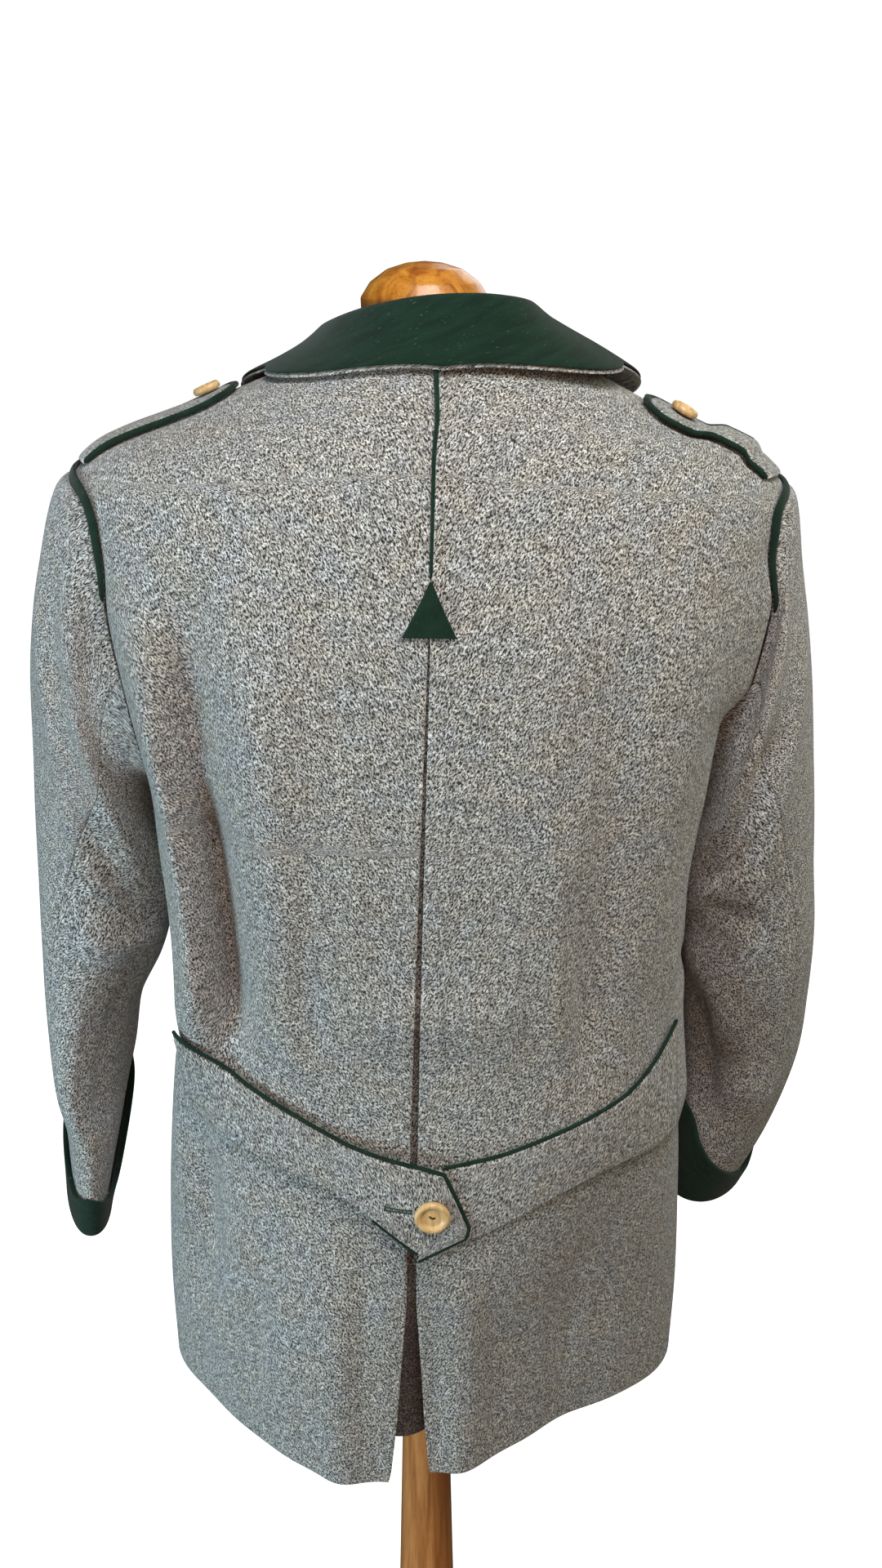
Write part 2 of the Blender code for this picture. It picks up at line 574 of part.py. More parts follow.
def add_backs():
    """The two backs, sewn down the centre to the triangle; below it they part over the pleat."""
    levels = armhole_levels()
    across = np.linspace(0, 1, 12)[:, None]
    for side, label in SIDES.items():
        start = side * centre_back(levels) + pleat_gap(levels)
        angles = start + (side_angle(side, levels, False) - start) * across
        body_piece(f"back_{label}", "loden_grey", side * angles, levels + 0 * angles)


def add_fronts():
    """The two fronts; the wearer's left one laps over the right one."""
    levels = armhole_levels()
    across = np.linspace(0, 1, 12)[:, None]
    reach = np.interp(levels, (0, 11), (0.138, 0.075))
    for side, label in SIDES.items():
        start = side_angle(side, levels, True)
        angles = start + (math.pi + OVERLAP / reach - start) * across
        under = -(CLOTH + 0.0016) * smooth_step((angles - math.radians(158)) / math.radians(9))
        lift = under if side > 0 else 0.0
        body_piece(f"front_{label}", "loden_grey", side * angles, levels + 0 * angles, lift)


def add_pleat_underlay():
    """The strip behind the centre pleat, which hangs forward where the vent is open."""
    levels = np.array([0.14, 0.6, 1.2, 2.0, 3.0, 4.2, 5.4, 6.6, 7.4])
    across = np.linspace(-1, 1, 7)[:, None]
    half = np.interp(levels, (0, 4, 7.4), (0.042, 0.040, 0.026)) / 0.14
    angles = centre_back(levels) + half * across
    behind = -(CLOTH + 0.0014) - 0.028 * smooth_step(1 - levels / 2.4)
    body_piece("pleat_underlay", "loden_grey", angles, levels + 0 * angles, behind + 0 * angles)


def add_sleeves():
    """Two pieces a sleeve, seamed at its back and its front."""
    sections = np.array([0.03, 0.4, 0.9, 1.5, 2.1, 2.8, 3.5, 4.2, 5.0, 5.8, 6.7, 7.8, 8.9, 9.95])
    numbers = range(SLEEVE_LAST + 1)
    front = np.interp(sections, numbers, FRONT_SEAM)
    for side, label in SIDES.items():
        hind = np.interp(sections, numbers, HIND_SEAM[side])
        for piece, start, end, steps in (
            ("top", hind, front, 11),
            ("under", front, hind + 360, 7),
        ):
            turns = np.radians(start + (end - start) * np.linspace(0, 1, steps + 1)[:, None])
            turns, at = np.broadcast_arrays(turns, sections)
            outer = drawn_in(sleeve(side, turns, at))
            inner = outer - CLOTH * sleeve_inside(side, turns, at)
            wall(f"{piece}_sleeve_{label}", "loden_grey", outer, inner)


def sleeve_inside(side, turn, at):
    """Which way a sleeve's cloth is thick: across itself, and with the body's on the shoulder."""
    angle, level = armhole(side, turn)
    facing = body_normal(side * angle, level)
    with_body = np.clip(1.5 * np.sin(turn), 0, 1) * smooth_step(1 - at / 0.6)
    return unit(sleeve_normal(side, turn, at) * (1 - with_body)[..., None] + facing * with_body[..., None])


def cuff_height(side, turn):
    """How far a cuff reaches above the sleeve's end, on a smooth closed curve through its table."""
    heights = np.array(CUFF_HEIGHTS[side])
    place = np.mod(turn / (2 * math.pi), 1) * len(heights)
    low = place.astype(int)
    corners = (heights[(low + step) % len(heights)] for step in (-1, 0, 1, 2))
    return smooth_curve(*corners, place - low)


def add_cuffs():
    """Turned-back cuffs, whose upper edges rise from the back to a point at the front."""
    turns = np.radians(np.arange(0, 360, 18))[:, None]
    up = np.linspace(0, 1, 5)
    for side, label in SIDES.items():
        at = SLEEVE_LAST - up * cuff_height(side, turns) / CUFF_SECTION
        off = CUFF_GAPE[side] * up**2 * np.clip(np.cos(turns - CUFF_GAPE_TURN), 0, 1) ** 2
        inner = sleeve(side, turns, at, CUFF_LIFT + off)
        outer = sleeve(side, turns, at, CUFF_LIFT + off + CLOTH)
        wall(f"cuff_{label}", "felt_green", outer, inner, closed=True)


def collar_rows(angles):
    """The collar's section at each angle: up the stand, over the fold and down the fall."""
    neck = body(angles, NECK, 0.0)
    neck[..., 2] += 0.0012
    behind = 0.5 + 0.5 * np.cos(angles)
    stand = COLLAR_STAND["front"] + (COLLAR_STAND["back"] - COLLAR_STAND["front"]) * behind
    places = np.radians(np.array(list(COLLAR_EDGE)))
    level, off = (np.interp(angles, places, column) for column in zip(*COLLAR_EDGE.values()))
    edge = body(angles * COLLAR_SPREAD, level, off)
    outward = neck - np.array([LEAN * 0.58, BODY_SECTIONS["neck"][6], 0.0])
    outward[..., 2] = 0
    outward = unit(outward)
    up = np.array([0.0, 0.0, 1.0])
    radius = 0.0036
    aside = np.sin(angles)
    lean = outward * (COLLAR_LEAN * (1 + COLLAR_LEAN_MORE * aside) * aside**2)[..., None]
    top = neck + up * (stand + COLLAR_TILT * neck[..., 0])[..., None] - lean
    rows = [neck, (neck + top) / 2]
    middle = top + outward * radius
    for turn in np.radians((0, 60, 120)):
        rows.append(middle - outward * radius * math.cos(turn) + up * radius * math.sin(turn))
    over = middle + outward * radius * 0.9 + up * radius * 0.2
    fall = edge - over
    for part in (0.33, 0.67, 1.0):
        bulge = (COLLAR_BULGE * np.sin(angles))[..., None] * math.sin(math.pi * part)
        rows.append(over + fall * part + (outward + up) * bulge)
    return np.stack(rows, 1)


def add_collar():
    """A stand-and-fall collar: felt on top, loden beneath, which shows along the edge."""
    angles = np.radians(np.linspace(-173, 173, 27))
    rows = collar_rows(angles)
    facing = grid_normals(rows)
    middle = len(rows) // 2
    if facing[middle, -2, 2] < 0:
        facing = -facing
    gap, thick = 0.0002, 0.0018
    felt = rows.copy()
    felt[:, -1] += unit(rows[:, -2] - rows[:, -1]) * 0.0016
    wall("collar", "felt_green", felt + facing * (gap + thick), felt + facing * gap)
    wall("under_collar", "loden_grey", rows - facing * gap, rows - facing * (gap + thick))


def belt_lift(side, angles):
    """The left strap rises over the right one where they are buttoned together."""
    if side > 0:
        return BELT_LIFT
    return BELT_LIFT + (STRAP + 0.0014) * smooth_step((angles + math.radians(26)) / math.radians(20))


def belt_edges(side):
    """The upper and lower edges of a strap, from its side seam to its end."""
    degrees = np.array([BELT_START[side], 63, 59, 55, 50, 45, 40, 35, 30, 21, 13, 6, 0])
    if side > 0:
        degrees = np.append(degrees, -1.4)
    top = np.interp(degrees, BELT_ANGLES, BELT_TOP[side])
    bottom = np.interp(degrees, BELT_ANGLES, BELT_BOTTOM[side])
    angles = np.radians(degrees) * side
    upper, lower = np.stack([angles, top], -1), np.stack([angles, bottom], -1)
    if side < 0:
        tab = np.array([(math.radians(angle), height) for angle, height in BELT_TAB])
        upper = np.vstack([upper, tab[0], tab[1], tab[2]])
        lower = np.vstack([lower[:-1], tab[5], tab[4], (tab[3] + tab[4]) / 2, tab[3]])
    return upper, lower


def add_belt():
    """The half belt, of two straps sewn down at the side seams, corded along its upper edge."""
    for side, label in SIDES.items():
        upper, lower = belt_edges(side)
        across = np.linspace(0, 1, 6)[None, :, None]
        grid = upper[:, None] + (lower - upper)[:, None] * across
        angles, levels = grid[..., 0], level_at(grid[..., 1])
        lift = belt_lift(side, angles)
        body_piece(f"belt_{label}", "loden_grey", angles, levels, lift + STRAP, STRAP, draw=False)
        cord = upper[:-2] if side < 0 else upper[upper[:, 0] > math.radians(5.6)]
        add_edge_cord(f"belt_cord_{label}", side, cord)


def add_edge_cord(name, side, edge):
    """The green cord on the upper edge of a strap, standing a little above it."""
    angles = edge[:, 0, None] + np.zeros((1, 2))
    heights = edge[:, 1, None] + np.array([[CORD_GAP, CORD_GAP + BELT_CORD]])
    lift = belt_lift(side, angles)
    body_piece(name, "felt_green", angles, level_at(heights), lift + BELT_CORD, BELT_CORD, draw=False)


def shoulder_point(side, along, across, lift):
    """A point on a shoulder strap: `along` is a section number, `across` is metres behind its middle."""
    width = smooth_columns(BODY_COLUMNS, BODY_SECTIONS, along)["half_width"]
    behind = EPAULETTE_BACK[side] + across
    return body(side * (math.pi / 2 - np.arcsin(behind / width)), along, lift)


def strap_lift(along):
    """How far a shoulder strap lies off the cloth, least where it is sewn into the armhole seam."""
    return STRAP_LIFT * (0.35 + 0.65 * smooth_step((along - STRAP_START) / 0.3))


def add_shoulder_straps():
    """A strap on each shoulder, set in the armhole seam, with corded edges and a buttoned tip."""
    for side, label in SIDES.items():
        tip = EPAULETTE_TIP[side]
        run = np.array([0, 0.2, 0.4, 0.6, 0.78, 0.9, 0.97, 1.0])
        along = STRAP_START + (tip - STRAP_START) * run
        half = EPAULETTE_HALF * np.array([1.0, 0.93, 0.87, 0.90, 0.98, 0.74, 0.42, 0.06])
        across = np.linspace(-1, 1, 5)[:, None] * half
        place = (side, along + 0 * across, across)
        lift = strap_lift(place[1])
        outer = shoulder_point(*place, lift + STRAP)
        wall(f"shoulder_strap_{label}", "loden_grey", outer, shoulder_point(*place, lift))
        edge_across = np.concatenate([half, -half[-2::-1]])
        edge_across[len(half) - 1] = 0
        edge = np.stack([np.concatenate([along, along[-2::-1]]) * LEVEL_ON_SHOULDER, edge_across], -1)
        heading = unit(np.gradient(edge, axis=0))
        away = np.stack([heading[:, 1], -heading[:, 0]], -1)
        middle = np.array([(STRAP_START + tip) / 2 * LEVEL_ON_SHOULDER, 0.0])
        away *= np.sign(np.sum(away * (edge - middle), -1))[:, None]
        near = edge + away * STRAP_CORD_GAP
        ring = np.stack([near, near + away * EPAULETTE_CORD], 1)
        place = (side, np.maximum(ring[..., 0] / LEVEL_ON_SHOULDER, STRAP_START), ring[..., 1])
        lift = strap_lift(place[1])
        outer = shoulder_point(*place, lift + STRAP * 1.1)
        wall(f"shoulder_cord_{label}", "felt_green", outer, shoulder_point(*place, lift))


def add_armhole_piping():
    """Flat piping let into the top of each armhole seam, standing half up from it at the back."""
    start, end = PIPING_TURNS
    run = np.linspace(0, 1, 18)
    turns = np.radians(start + (end - start) * run)
    half = (PIPING_POINT + (ARMHOLE_PIPING - PIPING_POINT) * np.sin(math.pi * run) ** 0.5) / 2
    backward = -0.9 * np.clip(np.cos(turns), 0, 1)
    for side, label in SIDES.items():
        angle, level = armhole(side, turns)
        seam, normal = body(side * angle, level), body_normal(side * angle, level)
        facing = unit(normal + backward[:, None] * (0.0, 1.0, 0.0))
        across = unit(np.cross(np.gradient(seam, axis=0), facing)) * half[:, None]
        raised = PIPING_LIFT + half * np.linalg.norm(facing - normal, axis=-1)
        middle = seam + normal * raised[:, None]
        outer = np.stack([middle + way * across + facing * PIPING_THICK / 2 for way in (-1, 1)], 1)
        wall(f"armhole_piping_{label}", "felt_green", outer, outer - facing[:, None] * PIPING_THICK)


def add_back_trims():
    """The piping of the centre back seam and the felt triangle where it ends over the pleat."""
    levels = np.linspace(8.28, 10.9, 10)
    half = np.interp(levels, (8.28, 10.9), (0.0010, 0.0017)) / 0.12
    angles = centre_back(levels) + half * np.array([[-1], [1]])
    body_piece("centre_back_piping", "felt_green", angles, levels + 0 * angles, 0.0034, 0.0022, draw=False)
    apex, base = level_at(1.3135), level_at(1.2875)
    down = np.linspace(0, 1, 4)
    levels = apex + (base - apex) * down
    half = np.interp(down, (0, 1), (0.0008, 0.0158)) / 0.145
    angles = centre_back(levels) + half * np.linspace(-1, 1, 5)[:, None]
    body_piece("triangle", "felt_green", angles, levels + 0 * angles, 0.0036, 0.0022, draw=False)


def place_on(point, facing, up=(0, 0, 1)):
    """Where a round piece sits: its +Z along `facing`."""
    facing = unit(np.asarray(facing, float))
    across = unit(np.cross(up, facing))
    other = np.cross(facing, across)
    place = np.eye(4)
    place[:3, 0], place[:3, 1], place[:3, 2], place[:3, 3] = across, other, facing, point
    return place.tolist()


def button_profile(radius, thick):
    """A turned button, dished inside a round rim, from its top down."""
    return (
        (0.0, thick * 0.62), (radius * 0.55, thick * 0.66), (radius * 0.72, thick),
        (radius * 0.88, thick), (radius, thick * 0.55), (radius * 0.92, 0.0), (0.0, 0.0),
    )


def add_buttons():
    """Wooden buttons: on the belt, on each shoulder strap and down the front."""
    belt_angle = math.radians(BELT_BUTTON_ANGLE)
    level = level_at(BELT_BUTTON_HEIGHT)
    lift = float(belt_lift(-1, np.array(belt_angle))) + STRAP + 0.0006
    point = body(belt_angle, level, lift)
    profile = button_profile(BUTTON_RADIUS, 0.0050)
    place = Matrix(place_on(point, body_normal(belt_angle, level)))
    turned("belt_button", "button_wood", profile, 24, place)
    for side, label in SIDES.items():
        along, lift = EPAULETTE_TIP[side] - EPAULETTE_BUTTON[side], STRAP_LIFT + STRAP + 0.0010
        point = shoulder_point(side, along, 0.0, lift)
        ends = [shoulder_point(side, along + way * 0.1, 0.0, lift) for way in (-1, 1)]
        edges = [shoulder_point(side, along, way * SMALL_BUTTON_RADIUS, lift) for way in (-1, 1)]
        facing = np.cross(ends[1] - ends[0], edges[1] - edges[0]) * side
        profile = button_profile(SMALL_BUTTON_RADIUS, 0.0045)
        place = Matrix(place_on(point, facing, (0, 1, 0)))
        turned(f"shoulder_button_{label}", "button_wood", profile, 20, place)
    for number, height in enumerate(np.linspace(*FRONT_BUTTON_HEIGHTS, FRONT_BUTTONS)):
        front_heights = [row[2] for row in BODY_SECTIONS.values()]
        level = np.interp(height, front_heights, range(len(BODY_SECTIONS)))
        point = body(math.pi, level, 0.0012)
        profile = button_profile(BUTTON_RADIUS, 0.0050)
        facing = body_normal(math.pi, level)
        turned(f"front_button_{number + 1}", "button_wood", profile, 20, Matrix(place_on(point, facing)))


def add_form():
    """The dress form's covered torso, smooth and closed, cut off flat at the neck and the hips."""
    at = np.linspace(0, len(FORM_SECTIONS) - 1, FORM_RINGS)
    size = smooth_columns(FORM_COLUMNS, FORM_SECTIONS, at)
    angles = np.radians(np.arange(FORM_STEPS_ROUND) * 360 / FORM_STEPS_ROUND)[:, None]
    depth = np.where(np.cos(angles) > 0, size["back_depth"], size["front_depth"])
    reach = section_reach(angles, size["half_width"], depth, size["squareness"])
    y = size["centre_y"] - reach * np.cos(angles)
    rings = hung(np.stack([reach * np.sin(angles), y, size["z"] + 0 * angles], -1))
    rings[:, 0, 2], rings[:, -1, 2] = size["z"][0], size["z"][-1]
    vertices = rings.reshape(-1, 3)
    count = FORM_RINGS
    faces = [
        [near * count + ring, far * count + ring, far * count + ring + 1, near * count + ring + 1]
        for near, far in zip(range(FORM_STEPS_ROUND), [*range(1, FORM_STEPS_ROUND), 0])
        for ring in range(count - 1)
    ]
    faces.append([turn * count for turn in range(FORM_STEPS_ROUND)])
    faces.append([turn * count + count - 1 for turn in range(FORM_STEPS_ROUND)])
    add_solid("form_torso", "form_cover", vertices, faces)


def add_stand():
    """The turned neck cap, column and foot."""
    cap = turned("neck_cap", "cap_wood", CAP_PROFILE, 32)
    cap.location.x = NECK_CENTRE_X
    turned("column", "column_wood", COLUMN_PROFILE, 28)
    turned("foot", "column_wood", FOOT_PROFILE, 40)


for old in list(bpy.data.objects):
    bpy.data.objects.remove(old)
jacket_collection = bpy.data.collections.new("tyrolean_jacket")
bpy.context.scene.collection.children.link(jacket_collection)

add_backs()
add_fronts()
add_pleat_underlay()
add_sleeves()
add_cuffs()
add_collar()
add_belt()
add_shoulder_straps()
add_armhole_piping()
add_back_trims()
add_buttons()
add_form()
add_stand()
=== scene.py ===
"""Looks of a grey loden jacket with bottle-green trimmings, worn by a dress form on a turned stand.

Everything is in metres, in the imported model's frame: +Z up, the jacket's back towards -Y, the
wearer's right at +X. The order is that of making it up: the room, the cloth and its cut, the body of
the jacket, its sleeves, its trimmings, and last the dress form and the stand.
"""

import math

import bmesh
import bpy
import numpy as np
from mathutils import Matrix, Vector


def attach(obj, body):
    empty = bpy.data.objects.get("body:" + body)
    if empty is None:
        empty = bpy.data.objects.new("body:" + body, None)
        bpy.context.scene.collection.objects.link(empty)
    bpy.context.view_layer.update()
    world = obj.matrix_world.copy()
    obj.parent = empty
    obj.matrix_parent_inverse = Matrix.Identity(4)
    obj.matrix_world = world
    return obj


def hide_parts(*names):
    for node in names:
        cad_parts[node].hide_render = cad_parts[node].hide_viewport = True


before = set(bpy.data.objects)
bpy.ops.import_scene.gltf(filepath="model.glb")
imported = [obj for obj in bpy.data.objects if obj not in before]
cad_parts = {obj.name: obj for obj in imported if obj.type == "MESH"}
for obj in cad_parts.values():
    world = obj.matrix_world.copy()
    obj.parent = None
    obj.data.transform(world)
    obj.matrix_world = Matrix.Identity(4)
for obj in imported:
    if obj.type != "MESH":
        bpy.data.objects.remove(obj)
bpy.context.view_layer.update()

# ------------------------------------------------------------------ the room
# A plain white studio. One soft lamp hangs above the camera and a strong cool one stands low on the
# left; weaker ones light the right side, the front and the edges from behind. The camera is a metre
# behind the jacket, a little above its collar, and looks 20 degrees down.

CAMERA_PLACE = (0.012, -0.998, 1.513)
CAMERA_PITCH = math.radians(20)
FOCAL_PIXELS, FRAME_HEIGHT, SENSOR = 1900, 1920, 36.0
NEAREST_SEEN = 0.05
WALL_SEEN, WALL_LIGHT = 1.05, 0.03  # the walls are seen white, but light the room only a little
LAMPS_AIM = Vector((0, 0, 1.1))
FLOOR_WIDTH = 30


def add_node(tree, kind, inputs=None, **settings):
    """A shader node with its settings, and its inputs given as numbers or as other nodes' outputs."""
    made = tree.nodes.new(kind)
    for key, value in settings.items():
        setattr(made, key, value)
    for key, value in (inputs or {}).items():
        if isinstance(value, bpy.types.NodeSocket):
            tree.links.new(value, made.inputs[key])
        else:
            made.inputs[key].default_value = value
    return made


def new_material(name, roughness, **shader_values):
    """A material with its own tree, and the plain values that are the same all over it."""
    made = bpy.data.materials.new(name)
    made.use_nodes = True
    shader = made.node_tree.nodes["Principled BSDF"]
    shader.inputs["Roughness"].default_value = roughness
    for key, value in shader_values.items():
        shader.inputs[key.replace("_", " ")].default_value = value
    return made, made.node_tree


camera_data = bpy.data.cameras.new("camera")
camera_data.sensor_width = SENSOR
camera_data.lens = SENSOR * FOCAL_PIXELS / FRAME_HEIGHT
camera_data.clip_start = NEAREST_SEEN
camera = bpy.data.objects.new("camera", camera_data)
camera.location = CAMERA_PLACE
camera.rotation_euler = (math.pi / 2 - CAMERA_PITCH, 0, 0)
bpy.context.scene.collection.objects.link(camera)
bpy.context.scene.camera = camera
bpy.context.scene.view_settings.view_transform = "Standard"

world = bpy.data.worlds.new("studio")
world.use_nodes = True
air = world.node_tree
walls = air.nodes["Background"]
walls.inputs["Color"].default_value = (1.0, 1.0, 1.0, 1)
seen = add_node(air, "ShaderNodeLightPath").outputs["Is Camera Ray"]
strength = add_node(air, "ShaderNodeMapRange", {"Value": seen, "To Min": WALL_LIGHT, "To Max": WALL_SEEN})
air.links.new(strength.outputs["Result"], walls.inputs["Strength"])
bpy.context.scene.world = world

for name, place, width, power, tint in (
    ("overhead lamp", (0.2, -1.0, 2.7), 0.9, 31, (1.0, 0.985, 1.0)),
    ("low lamp", (-1.5, -0.9, 0.75), 0.9, 28, (0.65, 0.90, 1.0)),
    ("side lamp", (1.4, -0.8, 2.2), 0.9, 10, (0.90, 1.0, 0.75)),
    ("front lamp", (0.1, -1.9, 1.4), 0.9, 7.5, (1.0, 0.62, 0.42)),
    ("rim lamp", (0.9, 2.0, 2.3), 1.4, 10, (1.0, 1.0, 1.0)),
):
    light_data = bpy.data.lights.new(name, "AREA")
    light_data.size = width
    light_data.energy = power
    light_data.color = tint
    light = bpy.data.objects.new(name, light_data)
    light.location = place
    light.rotation_euler = (LAMPS_AIM - Vector(place)).to_track_quat("-Z", "Y").to_euler()
    bpy.context.scene.collection.objects.link(light)

bpy.ops.mesh.primitive_plane_add(size=FLOOR_WIDTH)
floor = bpy.context.object
floor.name = "floor"
floor_paint = new_material(
    "floor_paint", 0.9,
    Base_Color=(0.85, 0.85, 0.85, 1), Emission_Color=(1, 1, 1, 1), Emission_Strength=1.0,
)[0]
floor.data.materials.append(floor_paint)
floor.visible_diffuse = False
floor.visible_glossy = False

# ------------------------------------------------------------------ the grey loden
# Fulled woollen cloth, spun from light and near-black fleece carded together. Its steep twill shows as
# short slanting flecks about a millimetre long under a thin nap, and the dye lots drift between a
# warm and a cool grey over a few centimetres. Patterns are laid out in metres of cloth.

TWILL_SLANT = math.radians(62)
FLECK_WIDE, FLECK_LONG = 0.00100, 0.0018


def mapped(tree, place, **moves):
    """The place that a pattern is read at, turned or scaled."""
    return add_node(tree, "ShaderNodeMapping", {"Vector": place, **moves}).outputs["Vector"]


def noise(tree, place, scale, detail, roughness=0.5, distortion=0.0):
    """Random blotches, about a unit apart when the scale is one."""
    inputs = {"Vector": place, "Scale": scale, "Detail": detail}
    inputs.update({"Roughness": roughness, "Distortion": distortion})
    return add_node(tree, "ShaderNodeTexNoise", inputs).outputs["Fac"]


def ramp(tree, factor, stops):
    """A colour ramp through (place, colour) stops."""
    made = add_node(tree, "ShaderNodeValToRGB", {"Fac": factor})
    points = made.color_ramp.elements
    while len(points) < len(stops):
        points.new(0.5)
    for point, (place, colour) in zip(points, stops):
        point.position = place
        point.color = (*colour, 1)
    return made.outputs["Color"]


def mixed(tree, factor, first, second, blend="MULTIPLY"):
    """One pattern's colour laid over another's."""
    inputs = {0: factor, 6: first, 7: second}
    return add_node(tree, "ShaderNodeMix", inputs, data_type="RGBA", blend_type=blend).outputs[2]


def relief(tree, height, strength, distance, under=None):
    """Fine relief as deep as `distance`, laid over other relief if there is any."""
    inputs = {"Height": height, "Strength": strength, "Distance": distance}
    if under is not None:
        inputs["Normal"] = under
    return add_node(tree, "ShaderNodeBump", inputs).outputs["Normal"]


def finished(made, colour, normal):
    """The material, with its colour and its relief on the shader."""
    shader = made.node_tree.nodes["Principled BSDF"]
    made.node_tree.links.new(colour, shader.inputs["Base Color"])
    made.node_tree.links.new(normal, shader.inputs["Normal"])
    return made


def loden(name, light, middle, dark):
    """The melange: slanting flecks of three greys, drifting tints, and a fibrous nap as relief."""
    made, tree = new_material(
        name, 0.96, Specular_IOR_Level=0.15, Sheen_Weight=0.22, Sheen_Roughness=0.55
    )
    metres = add_node(tree, "ShaderNodeUVMap", uv_map="cloth").outputs["UV"]
    along = mapped(tree, metres, Rotation=(0, 0, -TWILL_SLANT))
    stretched = mapped(tree, along, Scale=(1 / FLECK_LONG, 1 / FLECK_WIDE, 1))
    flecks = noise(tree, stretched, 1.0, 2.0, 0.55, 0.5)
    fibres = noise(tree, metres, 2600.0, 3.0, 0.7)
    tufts = noise(tree, metres, 170.0, 3.0, 0.6)
    clouds = noise(tree, metres, 38.0, 3.0, 0.55)
    melange = ramp(tree, flecks, ((0.40, dark), (0.50, middle), (0.60, light)))
    for pattern, share, stops in (
        (fibres, 1.0, ((0.30, (0.55, 0.55, 0.55)), (0.72, (1.40, 1.40, 1.40)))),
        (tufts, 1.0, ((0.36, (0.68, 0.67, 0.66)), (0.64, (1.28, 1.29, 1.30)))),
        (clouds, 0.8, ((0.36, (1.03, 0.99, 0.93)), (0.5, (1, 1, 1)), (0.64, (0.94, 0.98, 1.05)))),
    ):
        melange = mixed(tree, share, melange, ramp(tree, pattern, stops))
    nap = relief(tree, fibres, 0.35, 0.0004)
    return finished(made, melange, relief(tree, flecks, 0.55, 0.0006, nap))


GREY_LODEN = (
    loden("loden_grey", (0.60, 0.60, 0.575), (0.255, 0.252, 0.238), (0.020, 0.020, 0.020)), "loden_grey"
)

# ------------------------------------------------------------------ how the body of the jacket hangs
# The body is a tube of cloth through sections from the hem to the neck seam. It rests on the dress
# form's shoulders, blouses a little over the half belt and falls straight below it. A place on it is
# an angle from the centre back, + to the wearer's right, and a section number from 0 at the hem.

CLOTH = 0.0024  # thickness of one layer of loden
ARMHOLE_LOW, ARMHOLE_TOP = 6.1, 9.0  # section numbers of the underarm and of the shoulder tip
# The armhole's half width in degrees, from its lowest point to its top: behind and in front.
ARMHOLE_BACK = {
    -1: (0, 14.5, 19.5, 18.0, 20.3, 15.5, 0),
    1: (0, 8.0, 13.0, 14.8, 15.5, 13.8, 0),
}
ARMHOLE_FRONT = (0, 15.3, 21.9, 24.0, 21.9, 15.3, 0)
NECK = 11.0  # section number of the neck seam
SIDE_SEAM = math.radians(71)  # angle of the side seam from the centre back, below the waist
LEAN = 0.010  # the jacket hangs a little over to one side, as a slope
NECK_ASIDE = 0.0075  # the neck sits to the wearer's right of the form's middle
SHOULDER_DROP = 0.020  # and the wearer's right shoulder is lower, as a slope
LEAN_HEIGHT = 0.85  # it leans about this height
DROP_HEIGHT, DROP_RISE = 0.95, 0.35  # the drop sets in from this height, over this much more
ASIDE_HEIGHT, ASIDE_RISE = 1.375, 0.06  # and so does the neck's shift
SEAM_SWINGS = 3.9  # section number above which the side seam swings to the armhole
# The centre back seam wanders: its angle round the body at each of these section numbers.
CENTRE_BACK = {0: -3.8, 3: -3.0, 9: 1.2, 9.5: 0.2, 10: -2.2, 11: -3.5}
BODY_COLUMNS = (
    "z_back", "z_side", "z_front",
    "half_width", "back_depth", "front_depth", "centre_y", "squareness",
)
BODY_SECTIONS = {
    "hem": (0.663, 0.684, 0.668, 0.1925, 0.128, 0.138, 0.0, 1.80),
    "skirt": (0.746, 0.760, 0.750, 0.1935, 0.131, 0.140, 0.0, 1.95),
    "seat": (0.830, 0.838, 0.835, 0.190, 0.135, 0.139, 0.0, 2.10),
    "belt": (0.915, 0.917, 0.920, 0.1835, 0.136, 0.136, 0.0, 2.30),
    "waist": (0.995, 0.997, 1.000, 0.175, 0.137, 0.133, 0.0, 2.45),
    "ribs": (1.075, 1.077, 1.080, 0.172, 0.143, 0.137, 0.0, 2.50),
    "underarm": (1.150, 1.152, 1.155, 0.178, 0.148, 0.143, 0.0, 2.60),
    "blade": (1.225, 1.225, 1.228, 0.194, 0.149, 0.143, 0.0, 2.60),
    "yoke": (1.300, 1.297, 1.292, 0.211, 0.142, 0.132, 0.0, 2.50),
    "tip": (1.378, 1.361, 1.342, 0.223, 0.119, 0.108, 0.0, 2.20),
    "shoulder": (1.425, 1.397, 1.370, 0.155, 0.092, 0.090, 0.004, 2.10),
    "neck": (1.448, 1.434, 1.378, 0.076, 0.076, 0.076, 0.010, 2.00),
}

BODY_AROUND, BODY_ALONG = 0.17, 0.077  # metres a radian round the body, and a section up it
